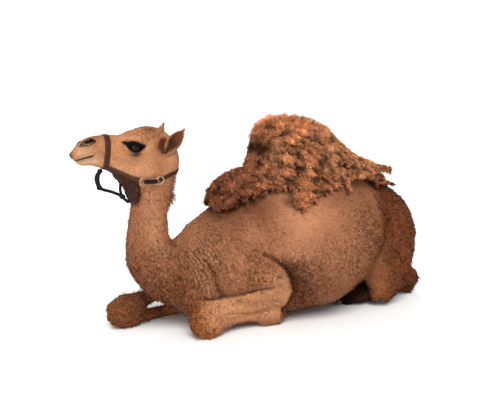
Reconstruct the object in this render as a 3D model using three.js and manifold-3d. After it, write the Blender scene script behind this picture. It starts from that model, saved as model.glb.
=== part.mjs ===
// A dromedary that lies with folded legs and raised head, at life size.
// Millimetres, +Z up. The nose points to -X, and the animal's left side is at -Y.
//
// Every limb and the trunk are lofts: a few stations, each a flat ring between a high and a
// low point, joined by smooth curves. Lofts of one piece are fused, and where two pieces meet
// the later one is cut back from the earlier one, so that a thin gap stays between them.
import * as THREE from 'three';
import { MeshSurfaceSampler } from 'three/addons/math/MeshSurfaceSampler.js';
import { mergeVertices } from 'three/addons/utils/BufferGeometryUtils.js';
import Module from 'manifold-3d';

const wasm = await Module();
wasm.setup();

// ---------------------------------------------------------------- driving dimensions
const GAP = 0.3;            // kept between touching pieces
const FLOOR = 0;            // what the animal lies on

// ---------------------------------------------------------------- solids
// A closed BufferGeometry as a manifold-3d solid with its faces pointing out.
function solid(geometry) {
  const bare = new THREE.BufferGeometry();
  bare.setAttribute('position', geometry.getAttribute('position'));
  bare.setIndex(geometry.index);
  const merged = mergeVertices(bare, 1e-3);
  const index = Uint32Array.from(merged.index.array);
  const make = (triVerts) => new wasm.Manifold(new wasm.Mesh({
    numProp: 3,
    vertProperties: merged.attributes.position.array,
    triVerts,
  }));
  const made = make(index);
  if (made.volume() > 0) return made;
  for (let i = 0; i < index.length; i += 3) {
    [index[i + 1], index[i + 2]] = [index[i + 2], index[i + 1]];
  }
  return make(index);
}

// A solid's surface as a BufferGeometry.
function meshOf(body) {
  const mesh = body.getMesh();
  const positions = new Float32Array(mesh.numVert * 3);
  for (let i = 0; i < mesh.numVert; i += 1) {
    positions.set(mesh.vertProperties.subarray(i * mesh.numProp, i * mesh.numProp + 3), i * 3);
  }
  const geometry = new THREE.BufferGeometry();
  geometry.setAttribute('position', new THREE.BufferAttribute(positions, 3));
  geometry.setIndex(new THREE.BufferAttribute(mesh.triVerts, 1));
  geometry.computeVertexNormals();
  return geometry;
}

const union = (...solids) => solids.flat().reduce((sum, next) => sum.add(next));
const minus = (base, ...cutters) => cutters.flat().reduce((rest, next) => rest.subtract(next), base);

// The largest closed surface of a solid: hollows are filled and scraps dropped.
function largest(body) {
  return body.decompose().reduce((best, next) => (next.volume() > best.volume() ? next : best));
}

// The same solid on the other side of the animal.
const mirrored = (body) => body.mirror([0, 1, 0]);

// ---------------------------------------------------------------- lofts
// stations: { hi: [x, y, z], lo: [x, y, z], w, widest = 0.5, n = 2 }
//   hi, lo   the ring's highest and lowest point
//   w        half of its width, sideways
//   widest   where it is widest, from 0 at lo to 1 at hi
//   n        power of the superellipse: 2 round, above 2 boxy
// ends: how far the two rounded ends stand out. grow: how much larger the loft is all round.
// turn: how far the ring's corners are turned, in shares of the angle between two corners.
function loft(stations, { sides = 16, between = 1, ends = [10, 10], grow = 0, turn = 0 } = {}) {
  const curve = (pick) => new THREE.CatmullRomCurve3(stations.map(pick), false, 'catmullrom', 0.5);
  const hiCurve = curve((s) => new THREE.Vector3(...s.hi));
  const loCurve = curve((s) => new THREE.Vector3(...s.lo));
  const shapeCurve = curve((s) => new THREE.Vector3(s.w, s.widest ?? 0.5, s.n ?? 2));
  const sideways = new THREE.Vector3(0, 1, 0);
  const count = (stations.length - 1) * between;
  const positions = [];
  const rings = [];

  const ring = (hi, lo, shape, scale, shift) => {
    const centre = hi.clone().add(lo).multiplyScalar(0.5);
    const upward = hi.clone().sub(lo);
    const reach = upward.length();
    upward.normalize();
    const half = reach / 2 + grow;
    const waist = (shape.y - 0.5) * reach;
    for (let i = 0; i < sides; i += 1) {
      const angle = ((i + turn) / sides) * 2 * Math.PI;
      const cos = Math.cos(angle);
      const sin = Math.sin(angle);
      const across = Math.sign(cos) * Math.abs(cos) ** (2 / shape.z) * (shape.x + grow);
      const lift = Math.sign(sin) * Math.abs(sin) ** (2 / shape.z);
      const along = waist + lift * (lift > 0 ? half - waist : half + waist);
      const point = centre.clone()
        .addScaledVector(sideways, across * scale)
        .addScaledVector(upward, along * scale)
        .add(shift);
      positions.push(point.x, point.y, point.z);
    }
    rings.push(rings.length * sides);
  };

  const at = (k) => {
    const t = k / count;
    return [hiCurve.getPoint(t), loCurve.getPoint(t), shapeCurve.getPoint(t)];
  };
  const middle = ([hi, lo]) => hi.clone().add(lo).multiplyScalar(0.5);
  const outward = [
    middle(at(0)).sub(middle(at(0.5))).normalize(),
    middle(at(count)).sub(middle(at(count - 0.5))).normalize(),
  ];
  const capShares = sides > 10 ? [0.36, 0.74] : [0.58];
  const capAngles = capShares.map((share) => share * Math.PI / 2);
  const cap = (end, angle) => {
    const [hi, lo, shape] = at(end ? count : 0);
    ring(hi, lo, shape, Math.cos(angle),
      outward[end].clone().multiplyScalar(Math.sin(angle) * (ends[end] + grow)));
  };

  [...capAngles].reverse().forEach((angle) => cap(0, angle));
  for (let k = 0; k <= count; k += 1) ring(...at(k), 1, new THREE.Vector3());
  capAngles.forEach((angle) => cap(1, angle));
  const poles = [0, 1].map((end) => {
    const tip = middle(at(end ? count : 0)).addScaledVector(outward[end], ends[end] + grow);
    positions.push(tip.x, tip.y, tip.z);
    return positions.length / 3 - 1;
  });

  const index = [];
  for (let i = 0; i < sides; i += 1) {
    const j = (i + 1) % sides;
    for (let r = 0; r + 1 < rings.length; r += 1) {
      const [a, b] = [rings[r], rings[r + 1]];
      index.push(a + i, a + j, b + j, a + i, b + j, b + i);
    }
    index.push(poles[0], rings[0] + j, rings[0] + i);
    index.push(poles[1], rings.at(-1) + i, rings.at(-1) + j);
  }
  const geometry = new THREE.BufferGeometry();
  geometry.setAttribute('position', new THREE.Float32BufferAttribute(positions, 3));
  geometry.setIndex(index);
  return solid(geometry);
}

// A station in the animal's middle plane, from side-view coordinates.
const mid = (hx, hz, lx, lz, w, widest, n) => ({ hi: [hx, 0, hz], lo: [lx, 0, lz], w, widest, n });

// An ellipsoid, turned by angles in degrees.
function ellipsoid(centre, radii, turn = [0, 0, 0], grow = 0, detail = [14, 10]) {
  const shape = new THREE.SphereGeometry(1, ...detail);
  shape.scale(...radii.map((r) => r + grow));
  shape.rotateX(turn[0] * Math.PI / 180);
  shape.rotateY(turn[1] * Math.PI / 180);
  shape.rotateZ(turn[2] * Math.PI / 180);
  shape.translate(...centre);
  return solid(shape);
}

// ---------------------------------------------------------------- trunk
const trunkRows = [
  mid(-472, 415, -505, 190, 115, 0.5),
  mid(-440, 470, -440, 95, 175, 0.45),
  mid(-360, 518, -370, 40, 222, 0.42),
  mid(-240, 608, -270, -4, 255, 0.42),
  mid(-90, 705, -120, -4, 285, 0.42),
  mid(80, 780, 60, -4, 308, 0.42),
  mid(260, 812, 250, 0, 330, 0.42),
  mid(440, 805, 440, 14, 330, 0.42),
  mid(620, 762, 620, 66, 292, 0.45, 2.1),
  mid(790, 700, 780, 110, 250, 0.48),
  mid(900, 636, 885, 135, 228, 0.48),
  mid(985, 565, 965, 170, 198, 0.48),
  mid(1040, 465, 1015, 220, 145, 0.5),
];
const bellyRows = [
  mid(-100, 600, -100, 60, 240, 0.42),
  mid(40, 690, 40, 6, 322, 0.4),
  mid(190, 735, 190, 0, 378, 0.4),
  mid(330, 745, 330, 6, 412, 0.4, 2.1),
  mid(440, 738, 440, 44, 420, 0.42),
  mid(535, 720, 530, 120, 405, 0.45),
  mid(620, 680, 612, 210, 355, 0.48),
  mid(682, 610, 672, 320, 270, 0.5),
];
const humpRows = [
  mid(25, 880, 45, 640, 90, 0.3),
  mid(45, 975, 60, 600, 140, 0.35),
  mid(110, 1035, 110, 600, 172, 0.35),
  mid(200, 1050, 200, 600, 186, 0.35),
  mid(320, 1032, 320, 600, 192, 0.35),
  mid(460, 965, 460, 600, 190, 0.35),
  mid(610, 855, 600, 600, 170, 0.35),
  mid(760, 760, 740, 600, 130, 0.35),
];
const trunk = (grow = 0, sides = 16) => union(
  loft(trunkRows, { sides, ends: [30, 40], grow }),
  loft(bellyRows, { sides, ends: [60, 30], grow }),
  loft(humpRows, { sides: sides - 2, ends: [20, 40], grow }),
);

// ---------------------------------------------------------------- neck
const neckRows = [
  mid(-330, 560, -330, 100, 170, 0.5),
  mid(-420, 495, -400, 105, 158, 0.5),
  mid(-464, 480, -505, 140, 138, 0.5),
  mid(-482, 495, -615, 215, 120, 0.5),
  mid(-492, 520, -690, 340, 104, 0.5),
  mid(-496, 560, -712, 475, 92, 0.5),
  mid(-494, 620, -703, 585, 84, 0.5),
  mid(-482, 700, -690, 680, 78, 0.5),
  mid(-452, 790, -672, 760, 80, 0.5),
  mid(-440, 880, -640, 850, 84, 0.5),
];
const neckLoft = (grow = 0) => loft(neckRows, { sides: 12, ends: [20, 20], grow });

// Locks of a short mane on the nape. Each starts in the neck and tapers to a tip behind it.
const napeLocks = () => [706, 670, 634, 600].map((z, i) => {
  const y = i % 2 ? 12 : -12;
  const reach = 46 - 4 * i;
  return loft([
    { hi: [-500, y, z + 26], lo: [-500, y, z - 22], w: 15 },
    { hi: [-470, y, z + 10], lo: [-476, y, z - 26], w: 11 },
    { hi: [-496 + reach, y, z - 26], lo: [-498 + reach, y, z - 34], w: 3 },
  ], { sides: 5, ends: [4, 3] });
});

// ---------------------------------------------------------------- head
const skullRows = [
  mid(-989, 988, -993, 966, 22, 0.4),
  mid(-965, 1013, -974, 948, 40, 0.4, 2.3),
  mid(-929, 1044, -938, 945, 50, 0.45, 2.3),
  mid(-888, 1058, -892, 945, 50, 0.45, 2.3),
  mid(-837, 1061, -850, 935, 47, 0.45, 2.3),
  mid(-786, 1059, -800, 920, 52, 0.45, 2.3),
  mid(-734, 1055, -750, 900, 62, 0.5, 2.3),
  mid(-681, 1067, -700, 880, 80, 0.55, 2.3),
  mid(-630, 1083, -660, 850, 92, 0.55, 2.2),
  mid(-573, 1082, -600, 800, 92, 0.55, 2.2),
  mid(-508, 1060, -540, 760, 88, 0.55),
  mid(-460, 1015, -490, 770, 76, 0.55),
  mid(-438, 960, -460, 800, 60, 0.55),
];
const jawRows = [
  mid(-957, 950, -958, 930, 26, 0.5),
  mid(-938, 960, -940, 919, 36, 0.5),
  mid(-895, 970, -900, 917, 40, 0.5),
  mid(-850, 970, -857, 903, 44, 0.5),
  mid(-800, 970, -808, 886, 48, 0.5),
  mid(-750, 970, -768, 855, 56, 0.5),
  mid(-700, 960, -728, 815, 64, 0.5),
  mid(-650, 950, -690, 775, 70, 0.5),
  mid(-580, 940, -620, 750, 74, 0.5),
];
const EYE = { at: [-697, 86, 1001], radius: 24 };

// A body on the left side together with its twin on the right.
const both = (body) => union(body, mirrored(body));
const left = (x, y, z) => [x, -y, z];

const flesh = (grow = 0) => union(
  loft(skullRows, { sides: 16, ends: [8, 14], grow }),
  loft(jawRows, { sides: 10, ends: [10, 20], grow }),
  both(ellipsoid(left(-690, 66, 1004), [62, 36, 42], [0, 0, 8], grow, [10, 8])),
  both(ellipsoid(left(-610, 56, 890), [84, 30, 74], [0, -20, 0], grow, [10, 6])),
  neckLoft(grow),
);

// A prism through the whole animal from a side-view outline [x, z], between two distances.
function prism(outline, from = -700, to = 700) {
  const shape = new THREE.Shape(outline.map(([x, z]) => new THREE.Vector2(x, z)));
  const slab = new THREE.ExtrudeGeometry(shape, { depth: to - from, bevelEnabled: false });
  slab.rotateX(Math.PI / 2);
  slab.translate(0, to, 0);
  return solid(slab);
}

// Side-view outlines of what is taken as lower neck and as head, moved up by so much.
const neckSplit = (up) => [[-1000, 290 + up], [-712, 430 + up], [-490, 540 + up], [-300, 634 + up],
  [-300, -50], [-1000, -50]];
const headSplit = (up) => [[-1100, 600 + up], [-860, 730 + up], [-715, 735 + up], [-690, 770 + up],
  [-425, 880 + up], [-300, 900 + up], [-300, 1300], [-1100, 1300]];

function headBody() {
  const [ex, ey, ez] = EYE.at;
  const lids = both(ellipsoid(left(ex, ey, ez), [36, 30, 30], [0, 0, 0], 0, [10, 6]));
  const openings = both(ellipsoid(left(ex - 1, ey + 24, ez - 1), [33, 20, 19], [0, 8, 0], 0, [10, 6]));
  const sockets = both(ellipsoid(left(...EYE.at), [24, 24, 24], [0, 0, 0], GAP, [9, 6]));
  const flaps = both(ellipsoid(left(-908, 42, 1036), [32, 11, 8], [0, -8, 4], 0, [8, 6]));
  const slits = both(union(
    ellipsoid(left(-914, 52, 1044), [34, 14, 2.6], [0, -8, 4], 0, [8, 4]),
    ellipsoid(left(-922, 52, 1025), [38, 14, 2.6], [0, -8, 4], 0, [8, 4]),
  ));
  const mouth = loft([
    mid(-1010, 945, -1010, 940, 60, 0.5, 4),
    mid(-960, 951, -960, 946, 60, 0.5, 4),
    mid(-901, 958, -901, 953, 60, 0.5, 4),
    mid(-857, 965, -857, 962, 60, 0.5, 4),
  ], { sides: 8, ends: [2, 2] });
  const cleft = ellipsoid([-992, 0, 968], [14, 2.4, 26], [0, 0, 0], 0, [8, 6]);
  const whole = union(flesh(), lids, flaps);
  return minus(whole, openings, sockets, slits, mouth, cleft);
}

// The ear is a leaf with a hollow, made upright and then set on the head.
const leaf = (rows) => loft(
  rows.map(([z, width, depth, y = 0]) => ({ hi: [width, y, z], lo: [-width, y, z], w: depth })),
  { sides: 8, ends: [6, 3] },
);
const earLeaf = () => minus(
  leaf([[-30, 20, 18], [5, 25, 20], [40, 30, 18], [75, 27, 14], [102, 16, 9], [118, 6, 5]]),
  leaf([[14, 14, 12, -11], [42, 22, 13, -11], [74, 19, 11, -9], [98, 9, 7, -7]]),
);
function standing(body, at, up, opening) {
  const z = new THREE.Vector3(...up).normalize();
  const y = new THREE.Vector3(...opening).negate();
  y.addScaledVector(z, -y.dot(z)).normalize();
  const x = y.clone().cross(z);
  return body.transform(new THREE.Matrix4().makeBasis(x, y, z).setPosition(...at).elements);
}

// ---------------------------------------------------------------- legs
// A station of a left limb: side-view coordinates, the distance from the middle plane and how far
// the ring leans outwards from its low point to its high point.
const limb = (hx, hz, lx, lz, out, w, widest = 0.5, n = 2) => ({
  hi: [hx, -out, hz], lo: [lx, -out, lz], w, widest, n,
});
const limbLoft = (rows, ends, sides = 8) => (grow = 0) => (
  loft(rows, { sides, ends, grow }));

const leftForeleg = {
  upper_arm: limbLoft([
    limb(-215, 590, -330, 430, 116, 55),
    limb(-180, 515, -350, 270, 196, 78),
    limb(-40, 412, -215, 170, 236, 90),
    limb(62, 335, -80, 150, 238, 82),
    limb(112, 258, 50, 130, 232, 68),
  ], [30, 20], 12),
  forearm: limbLoft([
    limb(100, 240, 98, 92, 222, 60),
    limb(0, 236, 0, 104, 218, 62),
    limb(-120, 226, -120, 92, 212, 56),
    limb(-220, 205, -220, 80, 206, 50),
    limb(-300, 190, -300, 60, 202, 52),
  ], [30, 20]),
  knee: limbLoft([
    limb(-290, 184, -290, 12, 200, 52, 0.5, 2.3),
    limb(-340, 186, -330, -6, 200, 60, 0.45, 2.5),
    limb(-390, 182, -385, -6, 200, 64, 0.42, 2.5),
    limb(-432, 160, -425, 14, 200, 56, 0.42, 2.3),
  ], [20, 32]),
  cannon: limbLoft([
    limb(-330, 95, -330, 5, 198, 42),
    limb(-240, 96, -240, 34, 196, 33),
    limb(-140, 98, -140, 38, 196, 32),
    limb(-40, 98, -40, 14, 196, 40),
  ], [20, 20]),
  foot: limbLoft([
    limb(-60, 98, -60, 8, 196, 42),
    limb(-5, 110, -5, -5, 198, 52, 0.42, 2.3),
    limb(48, 108, 48, -2, 200, 53, 0.42, 2.3),
    limb(76, 90, 78, 20, 200, 44, 0.42),
  ], [20, 16]),
};
const rightForeleg = {
  upper_arm: limbLoft([
    limb(-220, 570, -330, 430, 112, 55),
    limb(-225, 470, -385, 270, 194, 76),
    limb(-200, 380, -370, 170, 225, 84),
    limb(-150, 310, -290, 140, 222, 76),
    limb(-130, 250, -210, 120, 215, 66),
  ], [30, 25], 12),
  forearm: limbLoft([
    limb(-150, 240, -150, 95, 205, 60),
    limb(-280, 215, -280, 100, 195, 56),
    limb(-400, 200, -400, 108, 182, 48),
    limb(-500, 186, -500, 108, 170, 44),
    limb(-590, 178, -590, 80, 162, 48),
  ], [30, 20]),
  knee: limbLoft([
    limb(-580, 176, -580, 12, 160, 48, 0.5, 2.3),
    limb(-640, 180, -630, -6, 158, 56, 0.45, 2.5),
    limb(-700, 174, -695, -6, 158, 60, 0.42, 2.5),
    limb(-745, 150, -738, 14, 158, 52, 0.42, 2.3),
  ], [20, 34]),
  cannon: limbLoft([
    limb(-640, 80, -640, 4, 152, 38),
    limb(-560, 78, -560, 8, 158, 32),
    limb(-450, 76, -450, 6, 170, 31),
    limb(-340, 80, -340, 4, 184, 38),
  ], [20, 20]),
  foot: limbLoft([
    limb(-350, 90, -350, 6, 184, 42),
    limb(-295, 104, -295, -5, 188, 52, 0.42, 2.3),
    limb(-252, 102, -252, -2, 190, 53, 0.42, 2.3),
    limb(-228, 85, -226, 20, 190, 44, 0.42),
  ], [20, 16]),
};
const hindleg = {
  thigh: limbLoft([
    limb(850, 640, 978, 400, 106, 100),
    limb(770, 560, 955, 290, 185, 118),
    limb(695, 430, 912, 190, 218, 116),
    limb(640, 290, 850, 90, 240, 100),
    limb(618, 190, 750, 20, 248, 78),
  ], [30, 40], 12),
  shank: limbLoft([
    limb(655, 150, 665, 20, 235, 60),
    limb(770, 148, 770, 36, 205, 56),
    limb(890, 150, 890, 50, 172, 48),
    limb(975, 160, 980, 50, 155, 44),
  ], [20, 20]),
  hock: limbLoft([
    limb(930, 160, 930, 14, 156, 42),
    limb(990, 172, 985, -4, 148, 46, 0.45, 2.3),
    limb(1035, 140, 1030, 22, 142, 40, 0.45),
  ], [20, 26]),
  metatarsus: limbLoft([
    limb(990, 85, 990, 6, 145, 38),
    limb(880, 78, 880, 10, 138, 32),
    limb(760, 76, 760, 10, 130, 32),
    limb(660, 82, 660, 6, 124, 38),
  ], [20, 20]),
  hind_foot: limbLoft([
    limb(680, 88, 680, 6, 124, 42),
    limb(605, 96, 605, -5, 124, 54, 0.42, 2.3),
    limb(540, 84, 540, -3, 124, 54, 0.42, 2.3),
    limb(508, 64, 506, 14, 124, 44, 0.42),
  ], [20, 18]),
};

// Each foot ends in two toes, parted by a cleft, with a nail on each.
// at: the tip of the foot in the side view and its distance from the middle plane.
const FEET = {
  left_fore: { at: [92, 46], out: 200, turn: 1 },
  right_fore: { at: [-212, 46], out: 190, turn: 1 },
  left_hind: { at: [488, 30], out: 124, turn: -1 },
  right_hind: { at: [488, 30], out: 124, turn: -1 },
};
const cleftCut = ({ at: [x, z], out, turn }) => prism(
  [[x + turn * 20, z - 60], [x + turn * 20, z + 80], [x - turn * 30, z + 10], [x - turn * 20, z - 60]],
  -out - 2.5, -out + 2.5,
);
const nail = ({ at: [x, z], out, turn }, toe, grow = 0) => ellipsoid(
  left(x - turn * 6, out + toe * 24, z - 4), [15, 15, 13], [0, turn * 25, 0], grow, [5, 4]);

// ---------------------------------------------------------------- tail
const tailRows = [
  mid(1030, 560, 1005, 500, 36),
  mid(1085, 500, 1035, 470, 30),
  mid(1118, 400, 1072, 395, 24),
  mid(1122, 300, 1084, 300, 20),
  mid(1112, 210, 1078, 215, 18),
];
const tuftRows = [
  mid(1114, 225, 1078, 228, 20),
  mid(1122, 150, 1072, 158, 30),
  mid(1126, 80, 1080, 80, 28),
  mid(1124, 25, 1096, 20, 16),
];
const swung = (rows) => rows.map((row) => ({
  ...row,
  hi: [row.hi[0], (560 - row.hi[2]) * 0.22, row.hi[2]],
  lo: [row.lo[0], (560 - row.lo[2]) * 0.22, row.lo[2]],
}));
const tail = (grow = 0) => loft(swung(tailRows), { sides: 8, ends: [20, 10], grow });
const tuft = (grow = 0) => loft(swung(tuftRows), { sides: 8, ends: [10, 14], grow });

// ---------------------------------------------------------------- wool
const mantleLeft = [
  [-262, 608], [-200, 655], [-120, 690], [-40, 715], [50, 730], [108, 722],
  [118, 680], [140, 628], [180, 626], [235, 646], [275, 655], [300, 695], [404, 712], [490, 708],
  [560, 715], [600, 740], [640, 735], [720, 690], [830, 648], [900, 600],
  [990, 760], [900, 1300], [-300, 1300], [-330, 640],
];
const mantleRight = [
  [-205, 630], [-130, 668], [-40, 690], [80, 700], [200, 676], [320, 660],
  [420, 700], [520, 705], [640, 700], [760, 660], [880, 600],
  [990, 760], [900, 1300], [-300, 1300], [-330, 640],
];
const crest = [[-40, 900], [0, 870], [80, 930], [300, 930], [480, 880], [640, 800], [760, 900],
  [500, 1300], [-200, 1300]];

const inside = (outline, x, z) => outline.reduce((within, [ax, az], i) => {
  const [bx, bz] = outline[(i + 1) % outline.length];
  return (az > z) !== (bz > z) && x < ax + ((z - az) / (bz - az)) * (bx - ax) ? !within : within;
}, false);

// Clumps are flattened balls that sit half sunk on a surface, spread evenly over what keep allows.
// lie: the way they point along the surface, which each of them leaves by up to a stray angle.
function clumps(surface, keep, { count, radii, lie, stray, seed }, grow = 0) {
  let state = seed;
  const random = () => {
    state += 1;
    return THREE.MathUtils.seededRandom(state);
  };
  const sampler = new MeshSurfaceSampler(new THREE.Mesh(meshOf(surface))).setRandomGenerator(random).build();
  const spots = [];
  while (spots.length < count * 16) {
    const spot = { at: new THREE.Vector3(), normal: new THREE.Vector3(), near: Infinity };
    sampler.sample(spot.at, spot.normal);
    if (keep(spot.at)) spots.push(spot);
  }
  const chosen = [];
  while (chosen.length < count) {
    const next = spots.reduce((best, spot) => (spot.near > best.near ? spot : best));
    spots.forEach((spot) => {
      spot.near = Math.min(spot.near, spot.at.distanceTo(next.at));
    });
    chosen.push({ at: next.at, out: next.normal });
  }
  return chosen.map(({ at, out }) => {
    const along = new THREE.Vector3(...lie).projectOnPlane(out).normalize();
    along.applyAxisAngle(out, (random() - 0.5) * 2 * stray);
    const across = out.clone().cross(along);
    const swell = 0.85 + 0.3 * random();
    const ball = new THREE.SphereGeometry(1, 5, 4);
    ball.rotateX(Math.PI / 2);
    ball.scale(...radii.map((radius) => radius * swell + grow));
    ball.applyMatrix4(new THREE.Matrix4().makeBasis(along, across, out).setPosition(at));
    return solid(ball);
  });
}

// Wool over the hump: a core, and clumps that stand out to about twice its depth.
const CREST_CORE = 20;
const MANTLE_CORE = 24;
const CORE_SIDES = 12;
function humpWool(grow = 0) {
  const keep = ({ x, z }) => inside(crest, x, z - 30) && z > 850;
  const core = trunk(CREST_CORE + grow, CORE_SIDES).intersect(prism(crest.map(([x, z]) => [x, z - grow])));
  const tufts = clumps(trunk(CREST_CORE, CORE_SIDES), keep, {
    count: 21, radii: [102, 86, 32], lie: [0.3, 0, -1], stray: 0.9, seed: 5,
  }, grow);
  return union(core, tufts);
}
// Wool over one side of the back, thickest on the withers, down to a ragged lower edge.
const withersRows = [
  mid(-240, 690, -215, 500, 110, 0.4),
  mid(-205, 742, -185, 500, 165, 0.4),
  mid(-150, 776, -140, 500, 185, 0.4),
  mid(-80, 804, -80, 500, 205, 0.4),
  mid(0, 830, 0, 500, 215, 0.4),
  mid(60, 850, 60, 500, 215, 0.4),
];
function mantle(outline, side, seed) {
  const keep = ({ x, y, z }) => side * y > 25 && inside(outline, x, z - 60) && !inside(crest, x, z);
  const surface = union(trunk(MANTLE_CORE, CORE_SIDES), loft(withersRows, { sides: 10, ends: [30, 30] }));
  const core = surface.intersect(prism(outline));
  const tufts = clumps(surface, keep, {
    count: 20, radii: [104, 84, 35], lie: [0.35, 0, -1], stray: 0.7, seed,
  });
  return union(core, tufts);
}

// ---------------------------------------------------------------- halter
const nosebandOutline = [[-834, 1090], [-790, 1090], [-809, 969], [-814, 914], [-822, 860],
  [-850, 860], [-842, 916], [-836, 970]];
const jawStrapOutline = [[-842, 918], [-813, 912], [-783, 891], [-728, 866], [-668, 844],
  [-660, 826], [-700, 826], [-745, 838], [-790, 858], [-842, 892]];
const linkOutline = [[-645, 834], [-593, 834], [-593, 812], [-645, 812]];
const crownOutline = [[-585, 812], [-540, 824], [-500, 834], [-400, 842], [-400, 872], [-480, 868],
  [-540, 850], [-585, 836]];
const wrapRows = [
  mid(-735, 880, -776, 850, 50),
  mid(-690, 860, -742, 808, 60),
  mid(-655, 830, -716, 772, 68),
  mid(-645, 780, -708, 740, 70),
  mid(-652, 745, -694, 708, 62),
];

// A flat strap along a side-view path.
function strap(path, width, thick, grow = 0) {
  const points = path.map(([x, z]) => new THREE.Vector3(x, 0, z));
  return loft(points.map((point, i) => {
    const ahead = points[Math.min(i + 1, points.length - 1)];
    const back = points[Math.max(i - 1, 0)];
    const along = ahead.clone().sub(back).normalize();
    const off = new THREE.Vector3(along.z, 0, -along.x).multiplyScalar(thick / 2);
    return { hi: point.clone().add(off).toArray(), lo: point.clone().sub(off).toArray(), w: width / 2 };
  }), { sides: 4, turn: 0.5, ends: [2, 2], grow });
}
function ring(at, radius, wire, stretch, turn) {
  const torus = new THREE.TorusGeometry(radius, wire, 4, 9);
  torus.scale(stretch, 1, 1);
  torus.rotateX(Math.PI / 2);
  torus.rotateY(turn * Math.PI / 180);
  torus.translate(...at);
  return solid(torus);
}

// ---------------------------------------------------------------- the animal
const camel = new THREE.Group();
const material = (color, roughness, metalness = 0) => (
  new THREE.MeshStandardMaterial({ color, roughness, metalness }));
const hide = material(0xb07850, 0.9);
const woolly = material(0x9a5f36, 1);
const leather = material(0x5a2c18, 0.6);
const webbing = material(0x15120f, 0.8);
const brass = material(0xc9a469, 0.3, 1);
const glossy = material(0x120b08, 0.1);
const horn = material(0x3a2c22, 0.5);

function addNode(name, body, look) {
  const piece = new THREE.Mesh(meshOf(largest(body)), look);
  piece.name = name;
  camel.add(piece);
}

// Everything under the floor is cut away, which leaves small flats where the animal rests.
const overFloor = (body) => body.trimByPlane([0, 0, 1], FLOOR);
const onLeft = (body) => body.trimByPlane([0, -1, 0], GAP / 2);
const onRight = (body) => body.trimByPlane([0, 1, 0], GAP / 2);

const trunkCut = trunk(GAP);
addNode('torso', overFloor(trunk()), hide);
const neckBody = minus(flesh(), trunkCut);
addNode('neck_lower', overFloor(neckBody.intersect(prism(neckSplit(-GAP)))), hide);
addNode('neck_upper', union(minus(neckBody, prism(neckSplit(0)), prism(headSplit(0))), napeLocks()), hide);
addNode('head', headBody().intersect(prism(headSplit(GAP))), hide);

for (const [side, place] of [['left', (body) => body], ['right', mirrored]]) {
  const ear = place(standing(earLeaf(), [-516, -82, 975], [66, -40, 96], [-0.45, -0.85, 0.1]));
  addNode(`${side}_ear`, minus(ear, flesh(GAP)), hide);
  addNode(`${side}_eye`, place(ellipsoid(left(...EYE.at), [24, 24, 24], [0, 0, 0], 0, [9, 6])), glossy);
}

const forelegs = { left: leftForeleg, right: rightForeleg };
const legs = (side) => [
  { name: 'fore', pieces: forelegs[side], before: [neckLoft(GAP)] },
  { name: 'hind', pieces: hindleg, before: [] },
];
for (const [side, place] of [['left', (body) => body], ['right', mirrored]]) {
  for (const { name: leg, pieces, before } of legs(side)) {
    const spec = FEET[`${side}_${leg}`];
    const toes = { inner: -1, outer: 1 };
    const footCuts = [cleftCut(spec), ...Object.values(toes).map((toe) => nail(spec, toe, GAP))].map(place);
    const taken = [trunkCut, ...before];
    for (const [piece, make] of Object.entries(pieces)) {
      const cuts = piece.endsWith('foot') ? [...taken, ...footCuts] : taken;
      addNode(`${side}_${piece}`, overFloor(minus(place(make(0)), cuts)), hide);
      taken.push(place(make(GAP)));
    }
    for (const [toe, offset] of Object.entries(toes)) {
      addNode(`${side}_${leg}_${toe}_nail`, overFloor(minus(place(nail(spec, offset)), trunkCut)), horn);
    }
  }
}
addNode('tail', minus(tail(), trunkCut), hide);
addNode('tail_tuft', overFloor(minus(tuft(), trunkCut, tail(GAP))), woolly);

addNode('hump_wool', minus(humpWool(), trunkCut), woolly);
const mantleCuts = [trunkCut, humpWool(GAP), both(hindleg.thigh(GAP)),
  leftForeleg.upper_arm(GAP), mirrored(rightForeleg.upper_arm(GAP))];
addNode('left_mantle', onLeft(minus(mantle(mantleLeft, -1, 11), mantleCuts)), woolly);
addNode('right_mantle', onRight(minus(mantle(mantleRight, 1, 12), mantleCuts)), woolly);

const skin = flesh(GAP);
const cover = (thick, outline) => minus(flesh(thick).intersect(prism(outline)), skin);
const wrap = (grow = 0) => loft(wrapRows, { sides: 8, ends: [14, 14], grow });
addNode('noseband', cover(4.5, nosebandOutline), leather);
const widened = nosebandOutline.map(([x, z], i) => [x + (i > 0 && i < 5 ? GAP : -GAP), z]);
const bandCut = flesh(5).intersect(prism(widened));
addNode('throat_wrap', minus(wrap(), skin, bandCut), leather);
const wrapCut = wrap(GAP);
for (const [side, half, place] of [['left', onLeft, (b) => b], ['right', onRight, mirrored]]) {
  addNode(`${side}_jaw_strap`, half(minus(cover(4.5, jawStrapOutline), bandCut, wrapCut)), leather);
  addNode(`${side}_link`, half(minus(cover(7, linkOutline), wrapCut)), webbing);
  addNode(`${side}_front_ring`, place(ring([-655, -81, 826], 17, 3, 1, 0)), brass);
  addNode(`${side}_rear_ring`, place(ring([-570, -91, 824], 18, 3, 1.3, -35)), brass);
}
addNode('crown_strap', cover(4.5, crownOutline), leather);
const loopPath = [[-842, 885], [-858, 866], [-862, 840], [-852, 805], [-831, 790], [-790, 775],
  [-748, 754], [-725, 733], [-702, 712]];
const linkPath = [[-741, 812], [-743, 775], [-732, 742]];
addNode('chin_loop', minus(union(strap(loopPath, 16, 5), strap(linkPath, 16, 5)), wrapCut,
  skin, bandCut), webbing);

// The origin goes to the middle of the footprint, on the floor.
const size = new THREE.Box3().setFromObject(camel);
camel.position.set(-(size.min.x + size.max.x) / 2, -(size.min.y + size.max.y) / 2, -size.min.z);

export default camel;
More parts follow.
